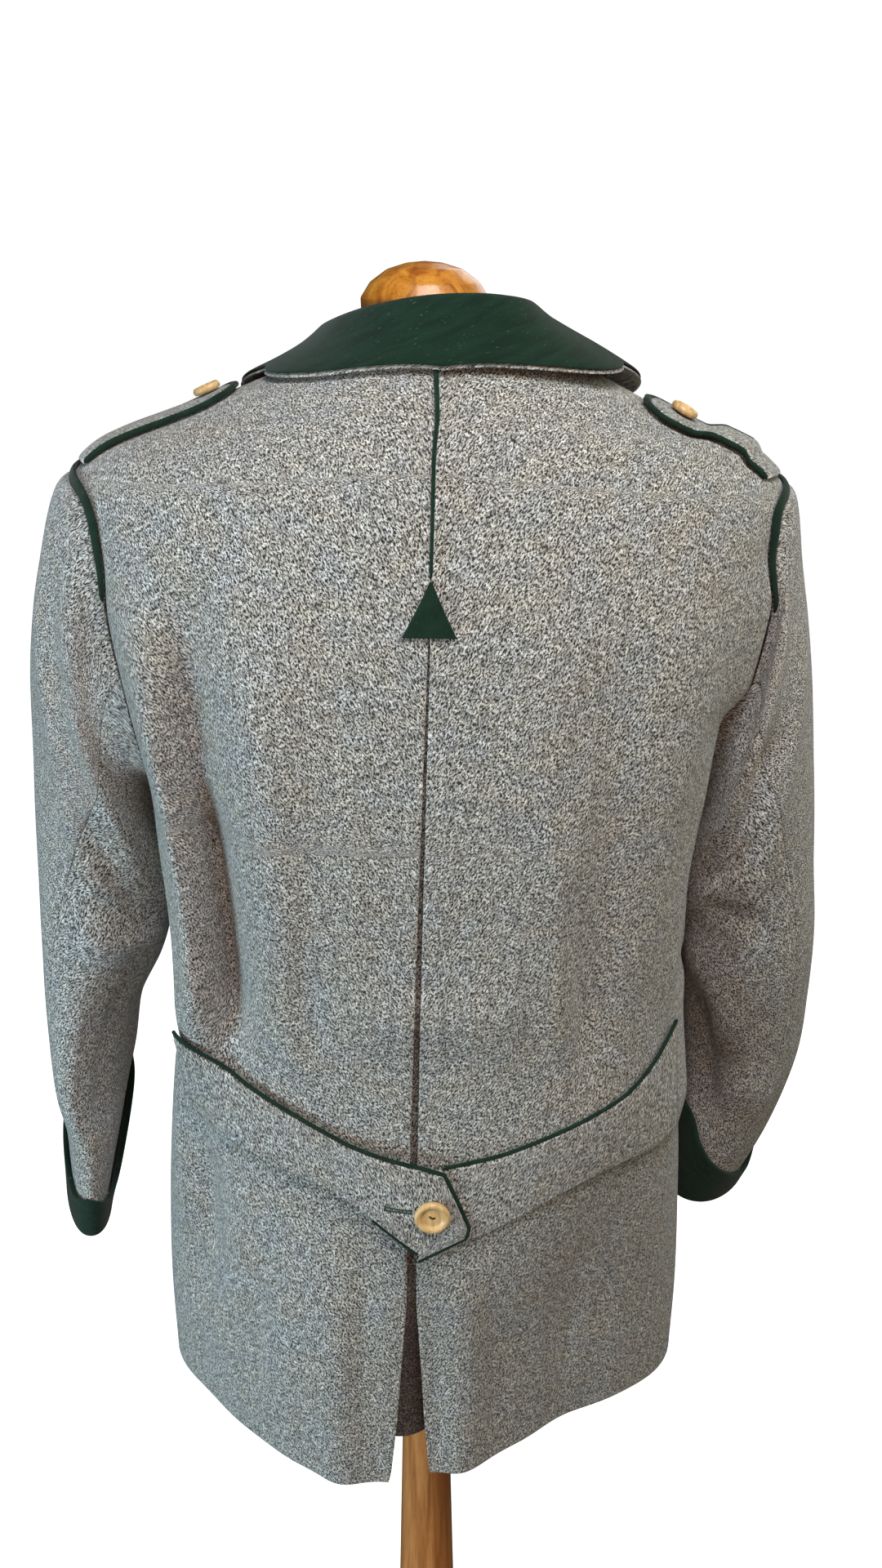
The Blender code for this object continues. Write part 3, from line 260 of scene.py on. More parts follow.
# Soft folds of the body and the finer creases over them. Each is a line from one place to another:
# an angle in degrees and a section number, the same again, and then its height and its half width.
BODY_FOLDS = {
    "left blade ridge": (-37, 8.1, -34, 4.1, 0.0070, 0.018),
    "left side ridge": (-70, 6.2, -67, 4.0, 0.0040, 0.015),
    "left skirt trough": (-60, 3.8, -67, 1.2, -0.0080, 0.022),
    "left hem trough": (-69, 2.2, -71, 0.0, -0.0048, 0.033),
    "left skirt ridge": (-38, 3.2, -38, 0.0, 0.0059, 0.034),
    "left hem ridge": (-26, 2.6, -25, 0.0, 0.0095, 0.023),
    "vent hollow": (1, 2.2, 4, 0.0, -0.0100, 0.022),
    "left waist hollow": (-86, 6.2, -86, 3.7, -0.0115, 0.026),
    "right blade ridge": (54, 8.2, 58, 4.6, 0.0060, 0.022),
    "right blade trough": (39, 8.1, 43, 3.9, -0.0060, 0.015),
    "right inner ridge": (29, 6.6, 33, 4.3, 0.0035, 0.016),
    "right side ridge": (68, 6.8, 67, 4.2, 0.0065, 0.018),
    "right skirt trough": (50, 3.2, 50, 0.0, -0.0232, 0.050),
    "right hem trough": (26, 2.6, 27, 0.0, -0.0127, 0.040),
    "right side trough": (78, 2.4, 70, 0.0, -0.0050, 0.030),
    "right hip ridge": (84, 4.4, 82, 2.9, 0.0070, 0.034),
    "left front ridge": (-112, 7.4, -118, 2.0, 0.0050, 0.022),
    "right front ridge": (114, 7.2, 120, 1.4, 0.0055, 0.022),
    "left front trough": (-132, 2.8, -134, 0.0, -0.0060, 0.024),
    "right front trough": (136, 2.6, 138, 0.0, -0.0060, 0.024),
    "right shoulder ridge": (90, 9.75, 90, 9.35, 0.0042, 0.100),
    "right waist swell": (82, 5.5, 82, 4.5, 0.0035, 0.030),
    "right yoke ridge": (78, 8.3, 76, 7.0, 0.0120, 0.028),
    "small of the back": (-22, 4.6, 24, 4.6, 0.0050, 0.022),
    "small of back crease": (9, 6.7, 24, 6.45, 0.0016, 0.007),
    "crease below it": (24, 6.4, 33, 5.6, 0.0018, 0.007),
    "crease above it": (6.8, 7.1, 14, 6.7, -0.0012, 0.008),
    "right waist streak": (30, 6.2, 42, 4.0, -0.0032, 0.010),
    "right blade streak": (34, 7.6, 31, 6.2, -0.0022, 0.011),
    "middle streak": (21, 6.1, 22, 4.2, 0.0016, 0.009),
    "seam streak": (8, 6.0, 8, 4.1, -0.0014, 0.008),
    "left waist streak": (-27.5, 6.5, -29, 4.2, -0.0022, 0.010),
    "left seam streak": (-17, 6.6, -16, 4.6, 0.0016, 0.010),
    "left yoke streak": (-27, 8.6, -17, 7.0, -0.0014, 0.012),
    "left skirt streak": (-41, 2.7, -52, 0.6, -0.0026, 0.012),
    "left vent streak": (-15.5, 2.4, -19, 0.6, -0.0016, 0.009),
    "right vent streak": (19, 2.1, 26, 0.2, -0.0022, 0.010),
    "right skirt streak": (51, 2.0, 54, 0.3, 0.0026, 0.012),
    "right hip streak": (61, 1.9, 70, 0.8, -0.0022, 0.011),
    "right flank swell": (84, 5.3, 84, 4.1, 0.0040, 0.022),
    "left front streak": (-120, 5.6, -128, 3.0, -0.0020, 0.011),
    "right front streak": (124, 5.9, 120, 3.2, -0.0022, 0.012),
    "front skirt streak": (150, 2.3, 146, 0.3, 0.0018, 0.011),
    "left front skirt streak": (-148, 2.0, -152, 0.4, -0.0018, 0.010),
}
# Folds that stand straight out behind instead of along the cloth's facing, given in the same way.
BACK_FOLDS = {
    "left fullness": (-63, 8.3, -65, 3.6, 0.0220, 0.034),
    "left blade trough": (-49.5, 8.1, -49, 4.05, -0.0190, 0.0135),
    "left outer ridge": (-60, 7.8, -61, 4.2, 0.0090, 0.012),
    "left belt pocket": (-48.5, 6.4, -48.5, 4.25, -0.0130, 0.012),
    "left blade swell": (-33, 8.0, -30, 5.0, 0.0060, 0.022),
    "left skirt pocket": (-60, 2.9, -61, 1.9, -0.0100, 0.014),
    "left hip ridge": (-73, 2.9, -73, 1.9, 0.0050, 0.014),
}


def smooth_curve(before, start, end, after, part):
    """The value at `part` of the way from start to end, on a curve through all four."""
    return 0.5 * (
        2 * start
        + (end - before) * part
        + (2 * before - 5 * start + 4 * end - after) * part**2
        + (3 * start - before - 3 * end + after) * part**3
    )


def smooth_columns(columns, sections, at):
    """Every column of a table of sections, read off a smooth curve at the section numbers `at`."""
    rows = np.array(list(sections.values()), float)
    rows = np.vstack([2 * rows[0] - rows[1], rows, 2 * rows[-1] - rows[-2]])
    last = len(sections) - 1
    at = np.clip(np.asarray(at, float), 0, last)
    low = np.minimum(at.astype(int), last - 1)
    part = (at - low)[..., None]
    curve = smooth_curve(*(rows[low + step] for step in range(4)), part)
    return dict(zip(columns, np.moveaxis(curve, -1, 0)))


def smooth_value(values, at):
    """A single row of values, read off a smooth curve at the numbers `at`."""
    return smooth_columns(("value",), {row: (value,) for row, value in enumerate(values)}, at)["value"]


def smooth_step(value):
    """From 0 to 1 as the value does, easing out of the one and into the other."""
    value = np.clip(value, 0, 1)
    return value * value * (3 - 2 * value)


def unit(vectors):
    """The same directions, one long."""
    return vectors / np.maximum(np.linalg.norm(vectors, axis=-1, keepdims=True), 1e-12)


def section_reach(angle, width, depth, squareness):
    """How far a rounded section reaches from its middle in the direction `angle` from the back."""
    across, along = np.abs(np.sin(angle)) / width, np.abs(np.cos(angle)) / depth
    return (across**squareness + along**squareness) ** (-1 / squareness)


def fold_height(folds, angle, level, round_size, level_size):
    """How far the soft folds of a table lift the cloth at an angle (in radians) and a section number."""
    here = np.stack(np.broadcast_arrays(angle * round_size, level * level_size), -1)
    lift = np.zeros(here.shape[:-1])
    for angle_1, level_1, angle_2, level_2, height, half_width in folds.values():
        start = np.array([math.radians(angle_1) * round_size, level_1 * level_size])
        run = np.array([math.radians(angle_2) * round_size, level_2 * level_size]) - start
        along = ((here - start) @ run) / (run @ run)
        away = np.linalg.norm(here - start - np.clip(along, 0, 1)[..., None] * run, axis=-1)
        fade = smooth_step((along + 0.12) / 0.4) * smooth_step((1.12 - along) / 0.3)
        if level_2 == 0:  # a fold that runs out through the hem is deepest there
            fade = smooth_step((along + 0.12) / 0.8)
        lift = lift + height * fade * np.exp(-((away / half_width) ** 2))
    return lift


def body_section_point(angle, level):
    """A point of the body without its folds; angle 0 is the centre back, + the wearer's right."""
    size = smooth_columns(BODY_COLUMNS, BODY_SECTIONS, level)
    behind = np.cos(angle) > 0
    depth = np.where(behind, size["back_depth"], size["front_depth"])
    reach = section_reach(angle, size["half_width"], depth, size["squareness"])
    end_z = np.where(behind, size["z_back"], size["z_front"])
    z = size["z_side"] + (end_z - size["z_side"]) * np.cos(angle) ** 2
    return np.stack([reach * np.sin(angle), size["centre_y"] - reach * np.cos(angle), z], -1)


def body_normal(angle, level):
    """Which way the body's cloth faces, worked out without its folds."""
    step = 1e-3
    level = np.clip(level, step, NECK - step)
    round_it = body_section_point(angle + step, level) - body_section_point(angle - step, level)
    up = body_section_point(angle, level + step) - body_section_point(angle, level - step)
    return unit(np.cross(round_it, up))


def hung(points):
    """The body leans a little: the top goes over to the wearer's right, and that shoulder drops."""
    x, y, z = np.moveaxis(points, -1, 0)
    drop = SHOULDER_DROP * smooth_step((z - DROP_HEIGHT) / DROP_RISE)
    aside = LEAN * (z - LEAN_HEIGHT) + NECK_ASIDE * smooth_step((z - ASIDE_HEIGHT) / ASIDE_RISE)
    return np.stack([x + aside, y, z - drop * x], -1)


def body(angle, level, lift=0.0):
    """A point on the jacket's body, raised by its folds and then by `lift`."""
    angle, level = np.broadcast_arrays(np.asarray(angle, float), np.asarray(level, float))
    raised = lift + fold_height(BODY_FOLDS, angle, level, BODY_AROUND, BODY_ALONG)
    behind = fold_height(BACK_FOLDS, angle, level, BODY_AROUND, BODY_ALONG)
    points = hung(body_section_point(angle, level) + body_normal(angle, level) * raised[..., None])
    return points - behind[..., None] * (0.0, 1.0, 0.0)


def level_at(height, column="z_side"):
    """The section number of a height on the body, below the shoulders."""
    heights = [row[BODY_COLUMNS.index(column)] for row in BODY_SECTIONS.values()]
    return np.interp(height, heights, range(len(heights)))


def side_seam_angle(level):
    """The side seam's angle, which swings to the middle of the armhole above the waist."""
    swing = smooth_step((level - SEAM_SWINGS) / (ARMHOLE_LOW - SEAM_SWINGS))
    return SIDE_SEAM + (math.pi / 2 - SIDE_SEAM) * swing


def armhole_half(widths, up):
    """The armhole's half width at `up`, which runs from -1 at its lowest point to 1 at its top."""
    at = (np.arcsin(np.clip(up, -1, 1)) / math.pi + 0.5) * (len(widths) - 1)
    return np.radians(smooth_value(widths, at))


def armhole(side, turn, grow=0.0):
    """The body's angle and section number at a place round the armhole, 0 at its back, 90 on top."""
    up = np.sin(turn)
    behind, in_front = (armhole_half(widths, up) for widths in (ARMHOLE_BACK[side], ARMHOLE_FRONT))
    across = np.where(np.cos(turn) > 0, behind, -in_front) * (1 + grow)
    middle, tall = (ARMHOLE_LOW + ARMHOLE_TOP) / 2, (ARMHOLE_TOP - ARMHOLE_LOW) / 2
    return math.pi / 2 - across, middle + tall * up * (1 + 0.6 * grow)


def centre_back(level):
    """The angle of the centre back seam, + to the wearer's right."""
    return np.radians(np.interp(level, list(CENTRE_BACK), list(CENTRE_BACK.values())))


# ------------------------------------------------------------------ making up a layer of cloth
# Every piece of cloth is one thick layer between two grids of points, its face and its back. The
# grids' lines lie close together along the cut edges, where the layer is rolled round and softened.

# Metres from an edge to the lines along it, and how far the face and the back draw in at each.
EDGE_LINES = (0.0, 0.00025, 0.0007, 0.0013, 0.0026, 0.0045)
FACE_EDGE = (0.00105, 0.00062, 0.00036, 0.00020, 0.00007, 0.0)
BACK_EDGE = (0.00100, 0.00050, 0.00015, 0.0, 0.0, 0.0)
SEAM_GAP = 0.0001  # how far a seam's two edges are drawn in


def run_along(points):
    """How far along a line, or along each line of a grid, its points lie."""
    run = np.cumsum(np.linalg.norm(np.diff(points, axis=0), axis=-1), 0)
    return np.concatenate([0 * run[:1], run])


def grid_corners(rows, columns):
    """The corners of every face between the lines of a grid, numbered row by row."""
    row, column = np.meshgrid(np.arange(rows - 1), np.arange(columns - 1), indexing="ij")
    return (row * columns + column).reshape(-1, 1) + (0, columns, columns + 1, 1)


def ring_faces(rows, ring, first=0):
    """The corners of every face between closed rings of points, numbered from `first`."""
    row, turn = np.meshgrid(np.arange(rows - 1), np.arange(ring), indexing="ij")
    here, following = row * ring + turn, row * ring + (turn + 1) % ring
    return (first + np.stack([here, following, following + ring, here + ring], -1).reshape(-1, 4)).tolist()


def lines(length, spacing):
    """Where the grid lines of a panel lie, as shares of its length."""
    edge = np.array(EDGE_LINES) / length
    count = max(3, round(length / spacing))
    return np.concatenate([edge, np.linspace(edge[-1], 1 - edge[-1], count)[1:-1], 1 - edge[::-1]])


def drawn_in(points):
    """A grid with its edges drawn in, so that its seams keep clear of the next pieces."""
    points = points.copy()
    for edge, inside in ((0, 1), (-1, -2)):
        points[edge] += unit(points[inside] - points[edge]) * SEAM_GAP
        points[:, edge] += unit(points[:, inside] - points[:, edge]) * SEAM_GAP
    return points


def softened(face, back, closed):
    """The two grids drawn together along the layer's edges, which rounds them."""
    through = unit(face - back)
    depth = np.linalg.norm(face - back, axis=-1) / CLOTH
    rows, columns = face.shape[:2]
    ease = np.zeros((2, rows, columns))
    for layer, sizes in enumerate((FACE_EDGE, BACK_EDGE)):
        for place, size in enumerate(sizes):
            for line in (place, columns - 1 - place):
                ease[layer, :, line] = np.maximum(ease[layer, :, line], size)
            for line in () if closed else (place, rows - 1 - place):
                ease[layer, line] = np.maximum(ease[layer, line], size)
    ease *= np.minimum(depth, 1)
    return face - through * ease[0][..., None], back + through * ease[1][..., None]


def add_piece(name, vertices, faces, stuff, uv=None):
    """A mesh object facing outwards, in the material of some stuff; the stuff's slot is not used here."""
    material, slot = stuff
    mesh = bpy.data.meshes.new(name)
    mesh.from_pydata(vertices.reshape(-1, 3).tolist(), [], faces)
    if uv is not None:
        layer = mesh.uv_layers.new(name="cloth")
        layer.data.foreach_set("uv", uv.astype(np.float32).ravel())
    shape = bmesh.new()
    shape.from_mesh(mesh)
    bmesh.ops.recalc_face_normals(shape, faces=shape.faces)
    shape.to_mesh(mesh)
    shape.free()
    mesh.polygons.foreach_set("use_smooth", [True] * len(mesh.polygons))
    mesh.materials.append(material)
    piece = bpy.data.objects.new(name, mesh)
    bpy.context.scene.collection.objects.link(piece)
    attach(piece, "root")
    return piece


def add_cloth(name, face, back, stuff, closed=False):
    """A layer of cloth between two grids. A closed one joins up round the grids' first way."""
    face, back = softened(face, back, closed)
    rows, columns = face.shape[:2]
    around = np.concatenate([face, face[:1]]) if closed else face
    u = run_along(around)
    laid_out = np.stack([u, run_along(around[rows // 2]) + 0 * u], -1).reshape(-1, 2)
    count = rows * columns
    corner = grid_corners(len(around), columns)
    row, column = np.divmod(corner[:, 0], columns)
    rims = [(corner[:, :2], column == 0), (corner[:, 2:], column == columns - 2)]
    if not closed:
        rims += [(corner[:, [3, 0]], row == 0), (corner[:, [1, 2]], row == rows - 2)]
    quads, laid = [corner % count, corner % count + count], [corner, corner]
    for pair, chosen in rims:
        pair = pair[chosen]
        quads.append(np.concatenate([pair % count, pair[:, ::-1] % count + count], 1))
        laid.append(np.concatenate([pair, pair[:, ::-1]], 1))
    vertices = np.concatenate([face.reshape(-1, 3), back.reshape(-1, 3)])
    return add_piece(name, vertices, np.concatenate(quads).tolist(), stuff, laid_out[np.concatenate(laid)])


def body_cloth(name, angles, levels, stuff, lift=0.0):
    """A layer of cloth on the body, from grids of angles and section numbers."""
    angles, levels = np.broadcast_arrays(angles, levels)
    face, back = (drawn_in(body(angles, levels, lift - under)) for under in (0, CLOTH))
    return add_cloth(name, face, back, stuff)


# ------------------------------------------------------------------ the backs and the fronts
# Four panels of loden. The backs are sewn together down the centre as far as the vent, the sides are
# seamed under the arms, and the wearer's left front buttons over the right one. The hem is turned up
# once and felled.

GRID = 0.0042
BODY_HEIGHT = 0.78
ARMHOLE_LINES = 56
BACK_WIDTH, FRONT_WIDTH = 0.25, 0.33
SIDES = {-1: "left", 1: "right"}
OVERLAP = 0.020  # how far each front runs past the centre front
FRONT_RADII = (0.138, 0.075)  # metres a radian round the front, at the hem and at the neck
LAP_ANGLE, LAP_EASE = math.radians(158), math.radians(9)  # where the right front sinks under the left
LAP_GAP = 0.0016
BACK_RADIUS = 0.14  # metres a radian round the middle of the back
# Half the gap between the two backs, where the pleat parts below the triangle and the vent hangs open.
PLEAT_GAP = {
    0: 0.0160, 0.1: 0.0140, 0.65: 0.0096, 1.2: 0.0066, 1.55: 0.0046,
    1.9: 0.0028, 2.5: 0.0023, 4.5: 0.0011, 7.4: 0.0, 11: 0.0,
}
PLEAT_TOP, PLEAT_EASE = 7.95, 0.25  # section number at the triangle's lower edge
PLEAT_PARTED = 0.0006  # the pressed edges stand this much further apart below it


def panel_levels():
    """Section numbers of the grid lines from the hem to the neck, close together at the armhole."""
    even = NECK * lines(BODY_HEIGHT, GRID)
    ring = armhole(1, np.radians(np.linspace(-90, 90, ARMHOLE_LINES)))[1]
    return np.concatenate([even[even < ARMHOLE_LOW - 0.01], ring, even[even > ARMHOLE_TOP + 0.01]])


def pleat_gap(level):
    """Half the angle that the gap between the backs takes up."""
    return np.interp(level, list(PLEAT_GAP), list(PLEAT_GAP.values())) / BACK_RADIUS


def side_angle(side, level, front):
    """Where a back or a front ends at its side: the side seam, the armhole and the shoulder seam."""
    middle, tall = (ARMHOLE_LOW + ARMHOLE_TOP) / 2, (ARMHOLE_TOP - ARMHOLE_LOW) / 2
    up = (level - middle) / tall
    half = armhole_half(ARMHOLE_FRONT, up) if front else -armhole_half(ARMHOLE_BACK[side], up)
    return np.where(level <= ARMHOLE_LOW, side_seam_angle(level), math.pi / 2 + half)


levels = panel_levels()
for side, label in SIDES.items():
    parted = PLEAT_PARTED / BACK_RADIUS * smooth_step((PLEAT_TOP - levels) / PLEAT_EASE)
    start = side * centre_back(levels) + pleat_gap(levels) + parted
    across = lines(BACK_WIDTH, GRID)[:, None]
    angles = start + (side_angle(side, levels, False) - start) * across
    back = body_cloth(f"back_{label}_loden", side * angles, levels, GREY_LODEN)
    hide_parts(f"back_{label}")

    start = side_angle(side, levels, True)
    reach = np.interp(levels, (0, NECK), FRONT_RADII)
    across = lines(FRONT_WIDTH, GRID)[:, None]
    angles = start + (math.pi + OVERLAP / reach - start) * across
    under = -(CLOTH + LAP_GAP) * smooth_step((angles - LAP_ANGLE) / LAP_EASE)
    lift = under if side > 0 else 0.0
    front = body_cloth(f"front_{label}_loden", side * angles, levels, GREY_LODEN, lift)
    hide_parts(f"front_{label}")

# ------------------------------------------------------------------ the pleat underlay
# A strip of the same loden sewn behind the centre back seam. It closes the inverted pleat and hangs
# behind the open vent, a little shorter than the hem. Its greys are painted darker and warmer than
# the rest, as painted shade for where it hangs deep behind the backs.

UNDERLAY_LEVELS = (0.14, 8.0)
UNDERLAY_HALF = {0: 0.042, 4: 0.040, 7.4: 0.026}  # its half width at these section numbers
UNDERLAY_WIDTH, UNDERLAY_LINES = 0.08, 118
UNDERLAY_GAP = 0.0014
VENT_DEPTH, VENT_TOP = 0.028, 2.4  # how far behind the hem it hangs, and from which section down

start, stop = UNDERLAY_LEVELS
levels = np.linspace(start, stop, UNDERLAY_LINES)
levels = np.concatenate([start + np.array(EDGE_LINES) / UNDERLAY_WIDTH, levels[2:]])
half = np.interp(levels, list(UNDERLAY_HALF), list(UNDERLAY_HALF.values())) / BACK_RADIUS
angles = centre_back(levels) + half * (2 * lines(UNDERLAY_WIDTH, GRID)[:, None] - 1)
behind = -(CLOTH + UNDERLAY_GAP) - VENT_DEPTH * smooth_step(1 - levels / VENT_TOP)
# Darker, warmer greys than the jacket's loden: painted shade, not a different cloth.
underlay_painted_shade = loden("loden_underlay_painted_shade", (0.30, 0.285, 0.26), (0.115, 0.105, 0.095), (0.010, 0.010, 0.010))
underlay = body_cloth("pleat_underlay_loden", angles, levels, (underlay_painted_shade, "loden_grey"), behind)
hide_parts("pleat_underlay")

# ------------------------------------------------------------------ the sleeves
# Two pieces each: a wide top sleeve and a narrow under sleeve, eased into the armhole and seamed down
# the hind arm and the inner arm. They hang empty, so they are creased at the elbow and drag a little
# from the shoulder.

# x is measured outwards. tilt is how far the section leans from level, and half_out runs up and out
# along that slope; half_deep runs from front to back. turn swings the section's back outwards.
SLEEVE_COLUMNS = ("x", "y", "z", "half_out", "half_deep", "tilt", "turn")
SLEEVE_SECTIONS = {
    -1: {
        "armhole": (0.2040, 0.000, 1.2590, 0.106, 0.068, 76, 0),
        "cap": (0.2120, 0.001, 1.2520, 0.104, 0.072, 74, 0),
        "upper arm": (0.2155, 0.003, 1.2180, 0.095, 0.072, 70, 0),
        "biceps": (0.2170, 0.005, 1.1760, 0.083, 0.070, 60, 0),
        "above elbow": (0.2190, 0.008, 1.1280, 0.067, 0.067, 48, 0),
        "elbow": (0.2240, 0.012, 1.0780, 0.0525, 0.064, 32, 2),
        "below elbow": (0.2310, 0.017, 1.0280, 0.0425, 0.064, 18, 4),
        "forearm": (0.2415, 0.022, 0.9780, 0.0315, 0.065, 8, 4),
        "lower forearm": (0.2465, 0.027, 0.9200, 0.0245, 0.0665, 2, 4),
        "wrist": (0.2520, 0.032, 0.8730, 0.0205, 0.0650, 0, -7),
        "sleeve end": (0.2630, 0.036, 0.8040, 0.0132, 0.0645, 0, -14),
    },
    1: {
        "armhole": (0.2040, 0.000, 1.2590, 0.106, 0.068, 76, 0),
        "cap": (0.2110, 0.001, 1.2520, 0.104, 0.072, 74, 0),
        "upper arm": (0.2145, 0.003, 1.2150, 0.093, 0.072, 70, 0),
        "biceps": (0.2168, 0.005, 1.1720, 0.080, 0.070, 60, 0),
        "above elbow": (0.2210, 0.009, 1.1230, 0.066, 0.067, 48, 0),
        "elbow": (0.2270, 0.016, 1.0730, 0.0540, 0.063, 32, 0),
        "below elbow": (0.2345, 0.026, 1.0200, 0.0500, 0.061, 22, -2),
        "forearm": (0.2390, 0.040, 0.9680, 0.0470, 0.0600, 14, -7),
        "lower forearm": (0.2410, 0.054, 0.9150, 0.0440, 0.0597, 7, -12),
        "wrist": (0.2350, 0.068, 0.8540, 0.0373, 0.0596, 2, -15),
        "sleeve end": (0.2245, 0.081, 0.7990, 0.0295, 0.0590, 0, -17),
    },
}
SLEEVE_INSET = 0.033  # how much smaller than the armhole a sleeve starts, as a share
SLEEVE_LIFT = 0.0004  # and how far off the body's cloth
SLEEVE_EASED = 2.4  # section number by which it has left the armhole's shape for its own
FOLDED_FROM = 0.8  # and by which its folds are at their full height
THICK_FROM = 0.6  # and by which it is thick across itself, also on the shoulder
SLEEVE_LAST = 10
SLEEVE_START, SLEEVE_TRIM = 0.03, 0.08  # the cloth starts here, and is this much shorter in all
SLEEVE_AROUND, SLEEVE_ALONG = 0.06, 0.055  # metres a radian round a sleeve, and a section along it
# Angles round a sleeve run from its back (0) over its outer side (90) to its front (180).
HIND_SEAM = {  # at each section
    -1: (-12, -16, -18, -11, 6, 20, 32, 36, 33, 28, 24),
    1: (-13, -10, -3, 7, 17, 29, 36, 37, 33, 28, 24),
}
FRONT_SEAM = (200, 205, 212, 218, 222, 225, 226, 226, 225, 224, 224)
SLEEVE_FOLDS = {
    -1: {
        "shoulder drag": (35, 0.8, -40, 3.6, 0.0050, 0.014),
        "second drag": (62, 1.4, -8, 4.6, 0.0040, 0.014),
        "elbow hollow": (20, 3.4, -50, 4.8, -0.0050, 0.016),
        "elbow ridge": (10, 5.6, -70, 5.2, 0.0045, 0.014),
        "forearm hollow": (-50, 5.8, -40, 8.6, -0.0040, 0.012),
        "front break": (150, 4.6, 215, 5.2, -0.0050, 0.014),
        "shoulder crease": (28, 2.2, -15, 1.7, -0.0020, 0.008),
        "elbow crease": (30, 4.2, -30, 2.8, 0.0022, 0.008),
        "hind arm crease": (4, 4.7, -60, 5.1, -0.0022, 0.008),
        "forearm streak": (-30, 6.0, -12, 8.6, -0.0020, 0.009),
        "hidden crease": (120, 5.2, 170, 4.4, 0.0018, 0.010),
    },
    1: {
        "shoulder drag": (30, 1.0, -35, 3.2, 0.0045, 0.014),
        "armpit hollow": (12, 2.4, -40, 4.0, -0.0060, 0.016),
        "second drag": (50, 2.2, -10, 4.8, 0.0040, 0.014),
        "elbow ridge": (-8, 7.4, -66, 5.2, 0.0050, 0.020),
        "forearm hollow": (-64, 6.0, -22, 8.7, -0.0090, 0.017),
        "forearm ridge": (-4, 7.9, 40, 8.4, 0.0030, 0.016),
        "front break": (150, 4.8, 215, 5.4, -0.0050, 0.014),
        "upper crease": (-9, 2.5, 20, 3.0, -0.0022, 0.009),
        "elbow crease": (-42, 3.6, 6, 3.5, 0.0024, 0.009),
        "hind arm crease": (-40, 4.4, 10, 5.4, -0.0022, 0.009),
        "forearm streak": (6, 6.6, -20, 7.8, -0.0022, 0.010),
        "hidden crease": (125, 5.0, 172, 4.2, 0.0018, 0.010),
    },
}
TOP_CUT = {"flat": (0.245, 0.520), "area": 0.094}
UNDER_CUT = {"flat": (0.165, 0.500), "area": 0.065}
SLEEVE_LENGTH, SLEEVE_GRID = 0.50, 0.0045
TOP_WIDTH, UNDER_WIDTH = 0.23, 0.15


def sleeve(side, turn, at, lift=0.0, folded=True):
    """A point on a sleeve: `turn` goes round it, and `at` is the section number from the armhole."""
    turn, at = np.broadcast_arrays(np.asarray(turn, float), np.asarray(at, float))
    size = smooth_columns(SLEEVE_COLUMNS, SLEEVE_SECTIONS[side], at)
    tilt, swing = np.radians(size["tilt"]), np.radians(size["turn"])
    outward = np.stack([side * np.cos(tilt), 0 * tilt, np.sin(tilt)], -1)
    backward = np.stack([0 * tilt, -1 + 0 * tilt, 0 * tilt], -1)
    back_part, out_part = np.cos(turn) * size["half_deep"], np.sin(turn) * size["half_out"]
    relative = (
        (back_part * np.cos(swing) - out_part * np.sin(swing))[..., None] * backward
        + (back_part * np.sin(swing) + out_part * np.cos(swing))[..., None] * outward
    )
    angle, level = armhole(side, turn, -SLEEVE_INSET)
    ring = body(side * angle, level, SLEEVE_LIFT)
    start = SLEEVE_SECTIONS[side]["armhole"]
    ring_middle = np.array([side * start[0], start[1], start[2]])
    middle = np.stack([side * size["x"], size["y"], size["z"]], -1)
    away = smooth_step(at / SLEEVE_EASED)[..., None]
    points = middle + relative * away + (ring - ring_middle) * (1 - away)
    if not folded:
        return points
    from_seam = np.mod(turn + math.pi / 2, 2 * math.pi) - math.pi / 2
    folds = fold_height(SLEEVE_FOLDS[side], from_seam, at, SLEEVE_AROUND, SLEEVE_ALONG)
    raised = lift + folds * smooth_step(at / FOLDED_FROM)
    return points + sleeve_normal(side, turn, at) * raised[..., None]


def sleeve_normal(side, turn, at):
    """Which way a sleeve's cloth faces, worked out without its folds."""
    step = 1e-3
    at = np.clip(at, step, SLEEVE_LAST - step)
    ahead, behind = (sleeve(side, turn + way * step, at, folded=False) for way in (1, -1))
    below, above = (sleeve(side, turn, at + way * step, folded=False) for way in (1, -1))
    return unit(np.cross(ahead - behind, below - above)) * -side


def sleeve_inside(side, turn, at):
    """Which way a sleeve's cloth is thick: across itself, and with the body's on the shoulder."""
    angle, level = armhole(side, turn)
    facing = body_normal(side * angle, level)
    with_body = np.clip(1.5 * np.sin(turn), 0, 1) * smooth_step(1 - at / THICK_FROM)
    return unit(sleeve_normal(side, turn, at) * (1 - with_body)[..., None] + facing * with_body[..., None])


sections = SLEEVE_START + (SLEEVE_LAST - SLEEVE_TRIM) * lines(SLEEVE_LENGTH, SLEEVE_GRID)
numbers = range(SLEEVE_LAST + 1)
inner_seam = np.interp(sections, numbers, FRONT_SEAM)
for side, label in SIDES.items():
    hind = np.interp(sections, numbers, HIND_SEAM[side])
    for part, start, end, width, cut in (
        ("top", hind, inner_seam, TOP_WIDTH, TOP_CUT),
        ("under", inner_seam, hind + 360, UNDER_WIDTH, UNDER_CUT),
    ):
        turns = np.radians(start + (end - start) * lines(width, GRID)[:, None])
        turns, at = np.broadcast_arrays(turns, sections)
        face = drawn_in(sleeve(side, turns, at))
        back = face - CLOTH * sleeve_inside(side, turns, at)
        piece = add_cloth(f"{part}_sleeve_{label}_loden", face, back, GREY_LODEN)
        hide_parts(f"{part}_sleeve_{label}")

# ------------------------------------------------------------------ the cuffs
# Turned-back cuffs of bottle-green melton, a close felted cloth. Each is a band shaped to rise from
# the hind arm to a point at the front, joined to the sleeve's end and folded up over it.


